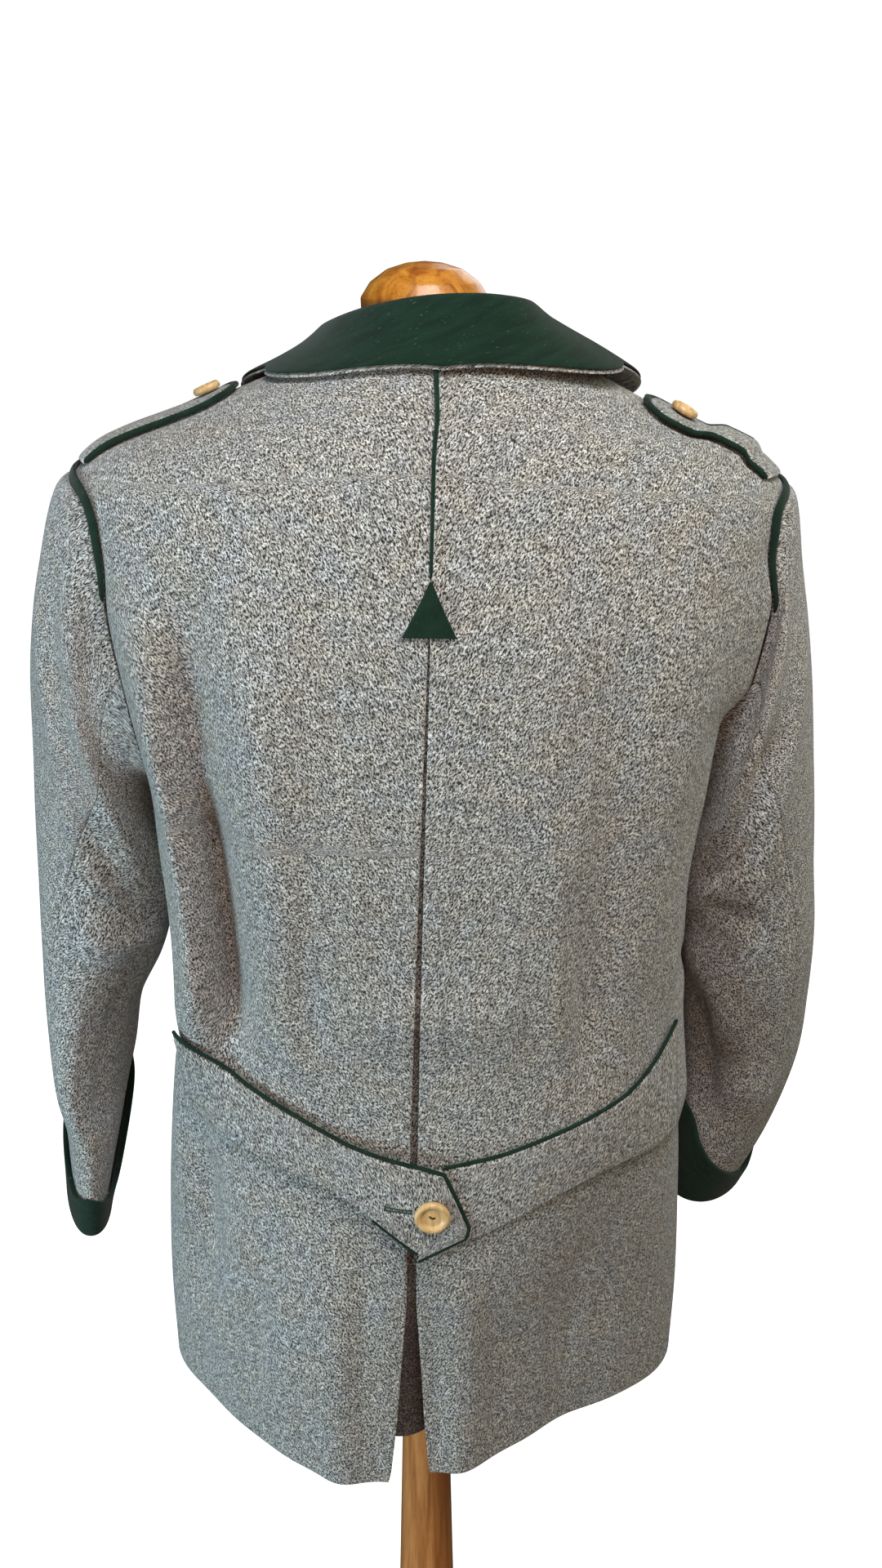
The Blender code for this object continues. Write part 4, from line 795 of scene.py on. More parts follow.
def melton(name, light, dark):
    """Green felted cloth: a fine, dense surface with a little lint in it and a dull nap."""
    made, tree = new_material(
        name, 0.95, Specular_IOR_Level=0.12, Sheen_Weight=0.10, Sheen_Roughness=0.5
    )
    metres = add_node(tree, "ShaderNodeUVMap", uv_map="cloth").outputs["UV"]
    fibres = noise(tree, metres, 1500.0, 4.0, 0.75)
    clouds = noise(tree, metres, 90.0, 2.0)
    specks = noise(tree, metres, 620.0, 1.0)
    worn = ramp(tree, clouds, ((0.35, (0.80, 0.80, 0.80)), (0.65, (1.2, 1.2, 1.2))))
    lint = ramp(tree, specks, ((0.715, (0, 0, 0)), (0.76, (0.07, 0.08, 0.07))))
    colour = mixed(tree, 1.0, ramp(tree, fibres, ((0.30, dark), (0.70, light))), worn)
    return finished(made, mixed(tree, 1.0, colour, lint, "ADD"), relief(tree, fibres, 0.4, 0.0003))


GREEN_MELTON = (
    melton("melton_green", (0.0100, 0.0315, 0.0195), (0.0040, 0.0140, 0.0088)), "felt_green"
)
# How far each cuff reaches above the sleeve's end, at eight turns round the sleeve from its back.
CUFF_HEIGHTS = {
    -1: (0.0255, 0.025, 0.052, 0.085, 0.092, 0.070, 0.024, 0.0170),
    1: (0.046, 0.023, 0.014, 0.040, 0.080, 0.096, 0.100, 0.084),
}
CUFF_SECTION = 0.058  # metres of sleeve that one section number stands for near its end
CUFF_LIFT, CUFF_UNDER = 0.0020, 0.0008  # from the sleeve to a cuff's cloth, and to its hidden side
CUFF_GAPE = {-1: 0.006, 1: 0.001}  # how far each cuff's upper edge stands off, most at the turn below
CUFF_GAPE_TURN = math.radians(235)
CUFF_RISE, CUFF_GRID, CUFF_STEP = 0.07, 0.0035, 3  # and degrees from one line round it to the next


def cuff_height(side, turn):
    """How far a cuff reaches above the sleeve's end, on a smooth closed curve through its table."""
    heights = np.array(CUFF_HEIGHTS[side])
    place = np.mod(turn / (2 * math.pi), 1) * len(heights)
    low = place.astype(int)
    corners = (heights[(low + step) % len(heights)] for step in (-1, 0, 1, 2))
    return smooth_curve(*corners, place - low)


turns = np.radians(np.arange(0, 360, CUFF_STEP))[:, None]
for side, label in SIDES.items():
    up = lines(CUFF_RISE, CUFF_GRID)
    at = SLEEVE_LAST - up * cuff_height(side, turns) / CUFF_SECTION
    turns_here, at = np.broadcast_arrays(turns, at)
    off = CUFF_GAPE[side] * up**2 * np.clip(np.cos(turns - CUFF_GAPE_TURN), 0, 1) ** 2
    face = sleeve(side, turns_here, at, CUFF_LIFT + off + CLOTH)
    back = sleeve(side, turns_here, at, CUFF_UNDER + off)
    cuff = add_cloth(f"cuff_{label}_melton", face, back, GREEN_MELTON, closed=True)
    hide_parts(f"cuff_{label}")

# ------------------------------------------------------------------ the collar
# A turn-down collar of green melton over an under collar of loden, which is cut a little larger and
# shows as a grey rim along the edge. It stands on the neck seam, folds over and falls on the
# shoulders; the wearer's right end lifts clear of them.

COLLAR_STAND = {"back": 0.018, "front": 0.014}
COLLAR_LEAN = 0.017  # how far the stand leans in to the neck at its sides
COLLAR_LEAN_MORE = 0.5  # on the wearer's right by this share more, and as much less on the left
COLLAR_SPREAD = 0.94  # the fall's points swing this far back from the centre front
# The collar's outer edge, at angles round the neck: a section number and its height off the cloth.
COLLAR_EDGE = {
    -180: (9.55, 0.006), -130: (9.95, 0.006), -90: (10.60, 0.005), -45: (10.34, 0.005),
    0: (10.12, 0.006), 45: (10.40, 0.009), 90: (10.60, 0.012), 130: (9.95, 0.009), 180: (9.55, 0.006),
}
COLLAR_TILT = 0.08  # the fold rises to the wearer's right
COLLAR_BULGE = 0.001  # how far the fall swells at the sides
COLLAR_ROLL = 0.0036  # radius of the fold
COLLAR_RISE = 0.0012  # from the neck seam to the stand's foot
COLLAR_ENDS = 173  # degrees from the centre back to each end
COLLAR_LENGTH, COLLAR_GRID, COLLAR_ROWS = 0.50, 0.0035, 34
COLLAR_GAP, COLLAR_THICK = 0.0002, 0.0018  # half the gap between its two layers, and each layer
RIM, RIM_LINES = 0.0016, 13  # how much of the under collar shows, eased over so many grid lines
NECK_RISE = 0.58  # from the height that the jacket leans about to the neck seam


def collar_rows(angles):
    """The collar's section at each angle: up the stand, over the fold and down the fall."""
    neck = body(angles, NECK, 0.0)
    neck[..., 2] += COLLAR_RISE
    behind = 0.5 + 0.5 * np.cos(angles)
    stand = COLLAR_STAND["front"] + (COLLAR_STAND["back"] - COLLAR_STAND["front"]) * behind
    places = np.radians(np.array(list(COLLAR_EDGE)))
    level, off = (np.interp(angles, places, column) for column in zip(*COLLAR_EDGE.values()))
    edge = body(angles * COLLAR_SPREAD, level, off)
    outward = neck - np.array([LEAN * NECK_RISE, BODY_SECTIONS["neck"][6], 0.0])
    outward[..., 2] = 0
    outward = unit(outward)
    up = np.array([0.0, 0.0, 1.0])
    aside = np.sin(angles)
    lean = outward * (COLLAR_LEAN * (1 + COLLAR_LEAN_MORE * aside) * aside**2)[..., None]
    top = neck + up * (stand + COLLAR_TILT * neck[..., 0])[..., None] - lean
    rows = [neck, (neck + top) / 2]
    middle = top + outward * COLLAR_ROLL
    for turn in np.radians((0, 60, 120)):
        rows.append(middle - outward * COLLAR_ROLL * math.cos(turn) + up * COLLAR_ROLL * math.sin(turn))
    over = middle + outward * COLLAR_ROLL * 0.9 + up * COLLAR_ROLL * 0.2
    fall = edge - over
    for part in (0.33, 0.67, 1.0):
        bulge = (COLLAR_BULGE * np.sin(angles))[..., None] * math.sin(math.pi * part)
        rows.append(over + fall * part + (outward + up) * bulge)
    return np.stack(rows, 1)


def curve_through(points, count):
    """Rows of points along smooth curves through the given ones, which lie along the middle axis."""
    ends = points[:, :1] * 2 - points[:, 1:2], points[:, -1:] * 2 - points[:, -2:-1]
    rows = np.moveaxis(np.concatenate([ends[0], points, ends[1]], 1), 1, 0)
    run = run_along(points.mean(0))
    places = np.interp(lines(run[-1], run[-1] / count) * run[-1], run, range(len(run)))
    low = np.minimum(places.astype(int), len(run) - 2)
    part = (places - low)[:, None, None]
    return np.moveaxis(smooth_curve(*(rows[low + step] for step in range(4)), part), 0, 1)


angles = np.radians(-COLLAR_ENDS + 2 * COLLAR_ENDS * lines(COLLAR_LENGTH, COLLAR_GRID))
rows = curve_through(collar_rows(angles), COLLAR_ROWS)
facing = unit(np.cross(np.gradient(rows, axis=1), np.gradient(rows, axis=0)))
before_edge = np.arange(rows.shape[1])[::-1, None]
shorter = np.clip((RIM_LINES - before_edge) / RIM_LINES, 0, 1)
felt = rows - unit(rows[:, -1:] - rows[:, -12:-11]) * RIM * shorter
near, far = facing * COLLAR_GAP, facing * (COLLAR_GAP + COLLAR_THICK)
collar = add_cloth("collar_melton", felt + far, felt + near, GREEN_MELTON)
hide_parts("collar")
under = add_cloth("under_collar_loden", rows - near, rows - far, GREY_LODEN)
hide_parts("under_collar")

# ------------------------------------------------------------------ the half belt
# Two shaped straps of doubled loden, caught in the side seams and sagging to the centre back. Both are
# faced with melton, top-stitched along their edges and corded in green along the top. The wearer's left
# strap ends in a blunt point and buttons over the right one.

STRAP = 0.003  # thickness of a strap, which is two layers pressed flat
BELT_LIFT = 0.0030  # from the cloth to the half belt, which lies over folds
BELT_SUNK = 0.0012  # the straps' hidden sides reach this much nearer to it
TAB_GAP = 0.0014  # between the two straps where they are buttoned
TAB_RISE = (math.radians(26), math.radians(20))  # the left one rises from 26 degrees, over 20 more
BELT_START = {-1: 66.5, 1: 70.0}  # the left strap starts a little behind its seam
BELT_ANGLES = (0, 20, 36, 52, 62, 71)
BELT_TOP = {
    -1: (0.939, 0.953, 0.974, 0.994, 1.006, 1.010),
    1: (0.934, 0.944, 0.957, 0.971, 0.987, 1.004),
}
BELT_BOTTOM = {
    -1: (0.876, 0.912, 0.930, 0.942, 0.948, 0.948),
    1: (0.873, 0.891, 0.909, 0.918, 0.917, 0.920),
}
# The buttoned end of the left strap, from its top corner round to its lowest: an angle and a height.
BELT_TAB = ((5.2, 0.9347), (8.7, 0.9150), (11.8, 0.8957), (11.2, 0.8892), (5.0, 0.8815), (-1.6, 0.8732))
EDGE_POINTS = 90  # on each edge of a strap, up to the centre back
CENTRE_END = -1.4  # degrees past the centre back that the right strap runs
EDGE_STEP, TAB_STEP = 0.002, 0.001  # metres between a line's points along a strap, and round the tab
BELT_CORD = 0.0026
CORD_GAP = 0.0004
CORD_END = math.radians(5.4)  # the right cord stops where the left strap covers it
UNCORDED = 30  # points of the left strap's upper edge, at its end, that have no cord
TAB_COVERS = math.radians(9)  # and the right strap's stitches stop here
BELT_WIDTH, BELT_GRID = 0.055, 0.0016
BELT_RADIUS = 0.145  # metres a radian round the body at the belt
BELT_SCALE = np.array([BELT_RADIUS, 1.0])
BELT_CUTS = {-1: (0.255, 0.062, 0.0125), 1: (0.235, 0.062, 0.0125)}  # flat length, width and area
STITCH_INSET = 0.0042
STITCH_PRESS, STITCH_PRESS_HALF = 0.0005, 0.0009  # how deep and how wide the stitches press the cloth
BELT_STITCH = (0.0026, 0.0034, 0.00022)  # length, pitch and the thread's radius
PIPING_RADIUS = 0.0012  # metres of cloth a radian round a piping
ROUNDED_END = 2.5  # points of a piping that its end is rounded over
FACING_HALF = (0.0016, 0.0009)  # half width and half height of the melton edge round the tab
FACING_OUT, FACING_DEEP = 0.0010, 0.66  # how far past the edge it lies, and at what share of the strap
# The buttonhole runs from the first of these places towards the second. Its stitches lie from
# HOLE_STITCH's first distance beside that line to its second, and the bar reaches HOLE_BAR to each side.
BUTTONHOLE = ((-10.4, 0.9115), (2.0, 0.9078))
HOLE_LENGTH, HOLE_PITCH, HOLE_STITCH = 0.0185, 0.00042, (0.0003, 0.0016)
HOLE_BAR, HOLE_THREAD = 0.0026, 0.00034


def belt_lift(side, angles):
    """The left strap rises over the right one where they are buttoned together."""
    if side > 0:
        return BELT_LIFT
    start, ease = TAB_RISE
    return BELT_LIFT + (STRAP + TAB_GAP) * smooth_step((angles + start) / ease)


def belt_edges(side):
    """Finely spaced points on the upper and lower edges of a strap, from its side seam to its end."""
    degrees = np.linspace(BELT_START[side], 0 if side < 0 else CENTRE_END, EDGE_POINTS)
    number = np.interp(np.maximum(degrees, 0), BELT_ANGLES, range(len(BELT_ANGLES)))
    top, bottom = (smooth_value(heights[side], number) for heights in (BELT_TOP, BELT_BOTTOM))
    angles = np.radians(degrees) * side
    upper, lower = np.stack([angles, top], -1), np.stack([angles, bottom], -1)
    if side < 0:
        tab = [np.array([math.radians(angle), height]) for angle, height in BELT_TAB]
        over = along_line([upper[-1], tab[0], tab[1], tab[2]], (8, 16, 14))
        below = along_line([lower[-1], tab[5], tab[4], (tab[3] + tab[4]) / 2, tab[3]], (6, 14, 9, 9))
        upper, lower = np.vstack([upper, over]), np.vstack([lower, below])
    return upper, lower


def along_line(corners, steps):
    """Points from corner to corner, without the first."""
    legs = [
        start + (end - start) * np.linspace(0, 1, count + 1)[1:, None]
        for start, end, count in zip(corners, corners[1:], steps)
    ]
    return np.vstack(legs)


def on_belt(side, place, lift=0.0):
    """Points on a strap's outer face, from angles and heights."""
    return body(place[..., 0], level_at(place[..., 1]), belt_lift(side, place[..., 0]) + STRAP + lift)


def facing_at(place):
    """Which way the body faces at angles and heights."""
    return body_normal(place[..., 0], level_at(place[..., 1]))


def inset_line(edge, inset, inward):
    """A line on the body beside another one, `inset` metres to its inner side."""
    metres = edge * BELT_SCALE
    heading = unit(np.gradient(metres, axis=0))
    beside = np.stack([heading[:, 1], -heading[:, 0]], -1)
    return (metres + beside * inset * inward) / BELT_SCALE


def read_along(at, run, values):
    """Rows of values that go with the distances `run`, read at the distances `at`."""
    return np.stack([np.interp(at, run, column) for column in values.T], -1)


def evenly(points, spacing):
    """A line of points spaced evenly along the one given."""
    run = run_along(points)
    return read_along(np.linspace(0, run[-1], max(2, round(run[-1] / spacing)) + 1), run, points)


def new_thread(name, light, dark):
    """Sewing thread: two-ply cotton with a soft shine."""
    made, tree = new_material(name, 0.6, Specular_IOR_Level=0.3, Sheen_Weight=0.15)
    place = add_node(tree, "ShaderNodeTexCoord").outputs["Object"]
    plies = noise(tree, place, 2200.0, 2.0)
    colour = ramp(tree, plies, ((0.35, dark), (0.65, light)))
    return finished(made, colour, relief(tree, plies, 0.5, 0.0001))


def add_stitches(name, starts, ends, facing, radius, stuff):
    """A row of stitches as short arched threads, each sinking into the cloth at its ends."""
    along = np.array([0.0, 0.12, 0.35, 0.65, 0.88, 1.0])
    arch = np.array([-0.9, 0.1, 0.6, 0.6, 0.1, -0.9])
    thick = np.array([0.25, 0.8, 1.0, 1.0, 0.8, 0.25])
    turns = np.radians(np.arange(0, 360, 60))
    run = ends - starts
    side = unit(np.cross(run, facing))
    core = starts[:, None] + run[:, None] * along[:, None] + facing[:, None] * (arch * radius)[:, None]
    round_it = (
        side[:, None, None] * np.cos(turns)[:, None] + facing[:, None, None] * np.sin(turns)[:, None]
    )
    points = core[:, :, None] + round_it * (thick * radius)[:, None, None]
    count, rings, ring = points.shape[:3]
    faces = [face for stitch in range(count) for face in ring_faces(rings, ring, stitch * rings * ring)]
    return add_piece(name, points, faces, stuff)


def stitch_row(name, points, facing, length, pitch, radius):
    """Grey running stitches along a line of points: each `length` long, one every `pitch`."""
    run = run_along(points)
    first = np.arange(pitch / 2, run[-1] - length, pitch)
    starts, ends = (read_along(at, run, points) for at in (first, first + length))
    normals = unit(read_along(first + length / 2, run, facing))
    add_stitches(name, starts, ends, normals, radius, GREY_THREAD)


def add_piping(name, core, facing, half_width, half_height):
    """A rolled or folded melton piping swept along a line: wide along the cloth, rounded on top."""
    turns = np.radians(np.arange(0, 360, 30))
    side = unit(np.cross(unit(np.gradient(core, axis=0)), facing))
    share = np.linspace(0, 1, len(core))
    from_end = np.clip(1 - np.minimum(share, 1 - share) * len(core) / ROUNDED_END, 0, 1)
    end = np.sqrt(np.clip(1 - from_end**2, 0.02, 1))
    points = (
        core[:, None]
        + side[:, None] * (half_width * end)[:, None, None] * np.cos(turns)[:, None]
        + facing[:, None] * (half_height * end)[:, None, None] * np.sin(turns)[:, None]
    )
    rows, ring = points.shape[:2]
    faces = ring_faces(rows, ring) + [list(range(ring)), list(range((rows - 1) * ring, rows * ring))]
    laid = np.stack(np.broadcast_arrays(turns * PIPING_RADIUS, run_along(core)[:, None]), -1)
    uv = laid.reshape(-1, 2)[np.concatenate(faces)]
    return add_piece(name, points, faces, GREEN_MELTON, uv)


GREY_THREAD = (new_thread("thread_grey", (0.36, 0.36, 0.35), (0.20, 0.20, 0.20)), "loden_grey")
for side, label in SIDES.items():
    upper, lower = belt_edges(side)
    across = lines(BELT_WIDTH, BELT_GRID)[None, :, None]
    place = upper[:, None] + (lower - upper)[:, None] * across
    from_edge = np.minimum(across, 1 - across)[..., 0] * BELT_WIDTH
    pressed = -STITCH_PRESS * np.exp(-(((from_edge - STITCH_INSET) / STITCH_PRESS_HALF) ** 2))
    face, back = on_belt(side, place, pressed), on_belt(side, place, -STRAP - BELT_SUNK)
    strap = add_cloth(f"belt_{label}_loden", face, back, GREY_LODEN)
    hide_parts(f"belt_{label}")
    length, width, area = BELT_CUTS[side]

    corded = evenly(upper if side > 0 else upper[:-UNCORDED], EDGE_STEP)
    if side > 0:
        corded = corded[corded[:, 0] > CORD_END]
    raised = inset_line(corded, (CORD_GAP + BELT_CORD) / 2, side)
    core = on_belt(side, raised, BELT_CORD / 2 - STRAP)
    cord = add_piping(
        f"belt_cord_{label}_melton", core, facing_at(raised), BELT_CORD / 2, BELT_CORD / 2
    )
    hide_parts(f"belt_cord_{label}")
    for row, (line, inward) in enumerate(((upper[:EDGE_POINTS], -side), (lower[:EDGE_POINTS], side))):
        if side > 0:
            line = line[line[:, 0] > TAB_COVERS]
        seam = inset_line(evenly(line, EDGE_STEP), STITCH_INSET, inward)
        name = f"belt_stitches_{label}_{row + 1}"
        stitch_row(name, on_belt(side, seam), facing_at(seam), *BELT_STITCH)
    # The melton facing shows as a thin green edge round the buttoned end and under it.
    if side < 0:
        rim = evenly(np.vstack([upper[EDGE_POINTS - 10:], lower[:EDGE_POINTS - 20:-1]]), TAB_STEP)
        outside = inset_line(rim, FACING_OUT, side)
        core = on_belt(side, outside, -STRAP * FACING_DEEP)
        add_piping("belt_facing_left", core, facing_at(outside), *FACING_HALF)
        rim = evenly(np.vstack([upper[EDGE_POINTS:], lower[:EDGE_POINTS - 1:-1]]), TAB_STEP)
        seam = evenly(inset_line(rim, STITCH_INSET, -side), TAB_STEP)
        stitch_row("belt_stitches_tab", on_belt(side, seam), facing_at(seam), *BELT_STITCH)

# The buttonhole is worked in green thread across the pointed end, with a bar at its far end.
GREEN_THREAD = (new_thread("thread_green", (0.022, 0.060, 0.036), (0.008, 0.026, 0.016)), "felt_green")
line = evenly(np.array([(math.radians(angle), height) for angle, height in BUTTONHOLE]), 0.0002)
reach = np.linalg.norm((line - line[0]) * BELT_SCALE, axis=-1)
centre = read_along(np.arange(0.0, HOLE_LENGTH, HOLE_PITCH), reach, line)
rows = [(centre, way * HOLE_STITCH[0], way * HOLE_STITCH[1]) for way in (-1, 1)]
rows.append((centre[:3], HOLE_BAR, -HOLE_BAR))
starts, ends = (
    np.vstack([on_belt(-1, inset_line(row[0], row[end], 1)) for row in rows]) for end in (1, 2)
)
facing = facing_at(np.vstack([row[0] for row in rows]))
add_stitches("belt_buttonhole", starts, ends, facing, HOLE_THREAD, GREEN_THREAD)

# ------------------------------------------------------------------ the shoulder straps
# A strap of doubled loden on each shoulder, caught in the top of the armhole seam. Its point is
# buttoned near the collar, and a rolled melton cord runs round its free edge.

STRAP_LIFT, STRAP_SUNK = 0.0020, 0.0006  # from the cloth to a shoulder strap, less at its hidden side
SEWN_SHARE, SEWN_EASE = 0.35, 0.3  # of the lift at the armhole seam, and sections to its full height
EPAULETTE_CORD, CORD_HALF_HEIGHT = 0.0045, 0.62  # its width, and half its height in straps' thickness
STRAP_CORD_GAP = 0.00064
EPAULETTE_HALF = 0.025
EPAULETTE_TIP = {-1: 10.34, 1: 10.28}  # section number of each strap's tip
EPAULETTE_BUTTON = {-1: 0.16, 1: 0.26}  # how far back from its tip each strap's button sits
EPAULETTE_BACK = {-1: 0.010, 1: 0.022}  # how far behind the shoulder's crest each strap's middle lies
STRAP_START = 9.11  # section number where the shoulder straps leave the armhole seam
LEVEL_ON_SHOULDER = 0.085  # metres of shoulder from one section to the next
STRAP_RUN = (0, 0.2, 0.4, 0.6, 0.78, 0.9, 0.97, 1.0)
STRAP_SHAPE = (1.0, 0.93, 0.87, 0.90, 0.98, 0.74, 0.42, 0.06)
EPAULETTE_LENGTH, EPAULETTE_WIDTH, EPAULETTE_GRID = 0.10, 0.036, 0.002


def shoulder_point(side, along, across, lift):
    """A point on a shoulder strap: `along` is a section number, `across` is metres behind its middle."""
    width = smooth_columns(BODY_COLUMNS, BODY_SECTIONS, along)["half_width"]
    behind = EPAULETTE_BACK[side] + across
    return body(side * (math.pi / 2 - np.arcsin(behind / width)), along, lift)


def strap_lift(along):
    """How far a shoulder strap lies off the cloth, least where it is sewn into the armhole seam."""
    full = smooth_step((along - STRAP_START) / SEWN_EASE)
    return STRAP_LIFT * (SEWN_SHARE + (1 - SEWN_SHARE) * full)


for side, label in SIDES.items():
    tip = EPAULETTE_TIP[side]
    run = lines(EPAULETTE_LENGTH, EPAULETTE_GRID)
    along = STRAP_START + (tip - STRAP_START) * run
    half = EPAULETTE_HALF * np.interp(run, STRAP_RUN, STRAP_SHAPE)
    across = (2 * lines(EPAULETTE_WIDTH, EPAULETTE_GRID)[:, None] - 1) * half
    place = side, along + 0 * across, across
    lift = strap_lift(along + 0 * across)
    face, back = shoulder_point(*place, lift + STRAP), shoulder_point(*place, lift - STRAP_SUNK)
    strap = add_cloth(f"shoulder_strap_{label}_loden", face, back, GREY_LODEN)
    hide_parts(f"shoulder_strap_{label}")

    run = np.array(STRAP_RUN)
    along = (STRAP_START + (tip - STRAP_START) * run) * LEVEL_ON_SHOULDER
    half = EPAULETTE_HALF * np.array(STRAP_SHAPE)
    half[-1] = 0
    edge = np.stack([np.concatenate([along, along[-2::-1]]), np.concatenate([half, -half[-2::-1]])], -1)
    edge = evenly(edge, EPAULETTE_CORD / 3)
    heading = unit(np.gradient(edge, axis=0))
    away = np.stack([-heading[:, 1], heading[:, 0]], -1)
    edge = edge + away * (STRAP_CORD_GAP + EPAULETTE_CORD / 2)
    edge[:, 0] = np.maximum(edge[:, 0], STRAP_START * LEVEL_ON_SHOULDER)
    along, across = edge[:, 0] / LEVEL_ON_SHOULDER, edge[:, 1]
    lift = strap_lift(along)
    core = shoulder_point(side, along, across, lift + STRAP * 0.5)
    off = shoulder_point(side, along, across, lift + STRAP * 1.5)
    cord = add_piping(
        f"shoulder_cord_{label}_melton", core, unit(off - core),
        EPAULETTE_CORD / 2, STRAP * CORD_HALF_HEIGHT,
    )
    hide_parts(f"shoulder_cord_{label}")

# ------------------------------------------------------------------ the flat piping and the triangle
# Folded strips of melton are let into the tops of the armhole seams and into the centre back seam.
# Where the centre back piping ends, a small melton triangle is laid on and stitched round, and the
# inverted pleat opens below it.

ARMHOLE_PIPING = 0.0080  # its width on top of the shoulder
PIPING_POINT = 0.0012  # its width where it runs out in the seam
PIPING_LIFT = 0.0014  # from the seam to its middle, where it lies flat
PIPING_POINTS = 110
PIPING_THICK = 0.0032
PIPING_TURNS = (14, 165)  # degrees round the armhole, from the back over the shoulder
BACK_PIPING = {8.28: 0.0010, 10.9: 0.0017}  # half width of the one down the back, at its two ends
BACK_PIPING_LIFT, BACK_PIPING_THICK = 0.0023, 0.0024
TRIANGLE_HEIGHTS = (1.3135, 1.2875)  # of its apex and of its base
TRIANGLE_LONG, TRIANGLE_WIDTH, TRIANGLE_GRID = 0.027, 0.022, 0.001
TRIANGLE_HALF = (0.0008, 0.0158)  # half width at the apex and at the base
TRIANGLE_LIFT, TRIANGLE_UNDER = 0.0034, 0.0014  # from the seam to its face and to its hidden side
TRIANGLE_STITCH = 0.0025  # from its base to the line that its stitches press in
TRIANGLE_PRESS, TRIANGLE_PRESS_HALF = 0.00035, 0.0006

run = np.linspace(0, 1, PIPING_POINTS)
half = (PIPING_POINT + (ARMHOLE_PIPING - PIPING_POINT) * np.sin(math.pi * run) ** 0.5) / 2
turns = np.radians(PIPING_TURNS[0] + (PIPING_TURNS[1] - PIPING_TURNS[0]) * run)
backward = -0.9 * np.clip(np.cos(turns), 0, 1)
for side, label in SIDES.items():
    angle, level = armhole(side, turns)
    seam, normal = body(side * angle, level), body_normal(side * angle, level)
    facing = unit(normal + backward[:, None] * (0.0, 1.0, 0.0))
    raised = PIPING_LIFT + half * np.linalg.norm(facing - normal, axis=-1)
    core = seam + normal * raised[:, None]
    piping = add_piping(f"armhole_piping_{label}_melton", core, facing, half, PIPING_THICK / 2)
    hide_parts(f"armhole_piping_{label}")

levels = np.linspace(*BACK_PIPING, 120)
half = np.interp(levels, list(BACK_PIPING), list(BACK_PIPING.values()))
angles = centre_back(levels)
core, facing = body(angles, levels, BACK_PIPING_LIFT), body_normal(angles, levels)
piping = add_piping("centre_back_piping_melton", core, facing, half, BACK_PIPING_THICK / 2)
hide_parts("centre_back_piping")

apex, base = (level_at(height) for height in TRIANGLE_HEIGHTS)
down = lines(TRIANGLE_LONG, TRIANGLE_GRID)
levels = apex + (base - apex) * down
narrow, wide = TRIANGLE_HALF
half = (narrow + (wide - narrow) * down) / BELT_RADIUS
across = 2 * lines(TRIANGLE_WIDTH, TRIANGLE_GRID)[:, None] - 1
angles = centre_back(levels) + half * across
from_base = (1 - down) * TRIANGLE_LONG
pressed = -TRIANGLE_PRESS * np.exp(-(((from_base - TRIANGLE_STITCH) / TRIANGLE_PRESS_HALF) ** 2))
face, back = (
    body(angles, levels + 0 * angles, lift) for lift in (TRIANGLE_LIFT + pressed, TRIANGLE_UNDER)
)
triangle = add_cloth("triangle_melton", face, back, GREEN_MELTON)
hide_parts("triangle")

# ------------------------------------------------------------------ the hem's stitching
# The hem is turned up and felled by hand, with stitches that just show a few millimetres above the
# edge. They are of the belt's grey thread, and stop short of the vent and of the centre front.

HEM_RISE, HEM_SECTION = 0.0035, 0.083  # metres above the edge, and metres of skirt to a section number
HEM_STITCH = (0.0022, 0.0062, 0.0002)  # length, pitch and the thread's radius
HEM_POINTS = 400
VENT_CLEAR, FRONT_CLEAR = 0.03, math.radians(3)  # how far the stitches stop from the vent and the front

for side, label in SIDES.items():
    start = side * float(centre_back(0)) + float(pleat_gap(0)) + VENT_CLEAR
    angles = side * np.linspace(start, math.pi - FRONT_CLEAR, HEM_POINTS)
    levels = np.full(HEM_POINTS, HEM_RISE / HEM_SECTION)
    seam, facing = body(angles, levels), body_normal(angles, levels)
    stitch_row(f"hem_stitches_{label}", seam, facing, *HEM_STITCH)

# ------------------------------------------------------------------ the buttons
# Turned wooden buttons, dished inside a rounded rim, with two holes close together and a few turns of
# brown thread. The large ones are on the belt and the front, the small ones on the shoulder straps.

BUTTON_RADIUS, BUTTON_THICK = 0.012, 0.0050
SMALL_BUTTON_RADIUS, SMALL_BUTTON_THICK = 0.009, 0.0045
HOLES_APART = 0.0015  # from the middle of a button to each of its two holes
HOLE_RADIUS, HOLE_DEPTH = 0.0009, 0.45  # the depth is a share of the button's thickness
BUTTON_THREAD, THREADS_APART = 0.0003, 0.00035
DISH = 0.62  # height of the dished face, as a share of the rim's
BELT_BUTTON_GAP, SMALL_BUTTON_GAP, FRONT_BUTTON_GAP = 0.0006, 0.0010, 0.0012  # from what each lies on
BELT_BUTTON_ANGLE, BELT_BUTTON_HEIGHT = 2.4, 0.9075
FRONT_BUTTONS = 5
FRONT_BUTTON_HEIGHTS = (0.92, 1.33)
UPRIGHT = (0, 0, 1)


def new_wood(name, light, middle, dark, grain, rings, lacquer, slant=0.0):
    """Straight-grained wood: streaks drawn out along +Z, fine pores and a clear lacquer."""
    made, tree = new_material(
        name, 0.42, Specular_IOR_Level=0.4, Coat_Weight=lacquer, Coat_Roughness=0.18
    )
    place = add_node(tree, "ShaderNodeTexCoord").outputs["Object"]
    drawn = mapped(tree, place, Rotation=(0, slant, 0), Scale=(rings, rings, grain))
    streaks = noise(tree, drawn, 1.0, 4.0, 0.6, 0.6)
    fine = noise(tree, drawn, 7.0, 3.0, 0.7)
    colour = ramp(tree, streaks, ((0.32, dark), (0.5, middle), (0.68, light)))
    pores = ramp(tree, fine, ((0.30, (0.70, 0.66, 0.60)), (0.48, (1, 1, 1)), (0.75, (1.10, 1.08, 1.05))))
    return finished(made, mixed(tree, 1.0, colour, pores), relief(tree, fine, 0.25, 0.0002))


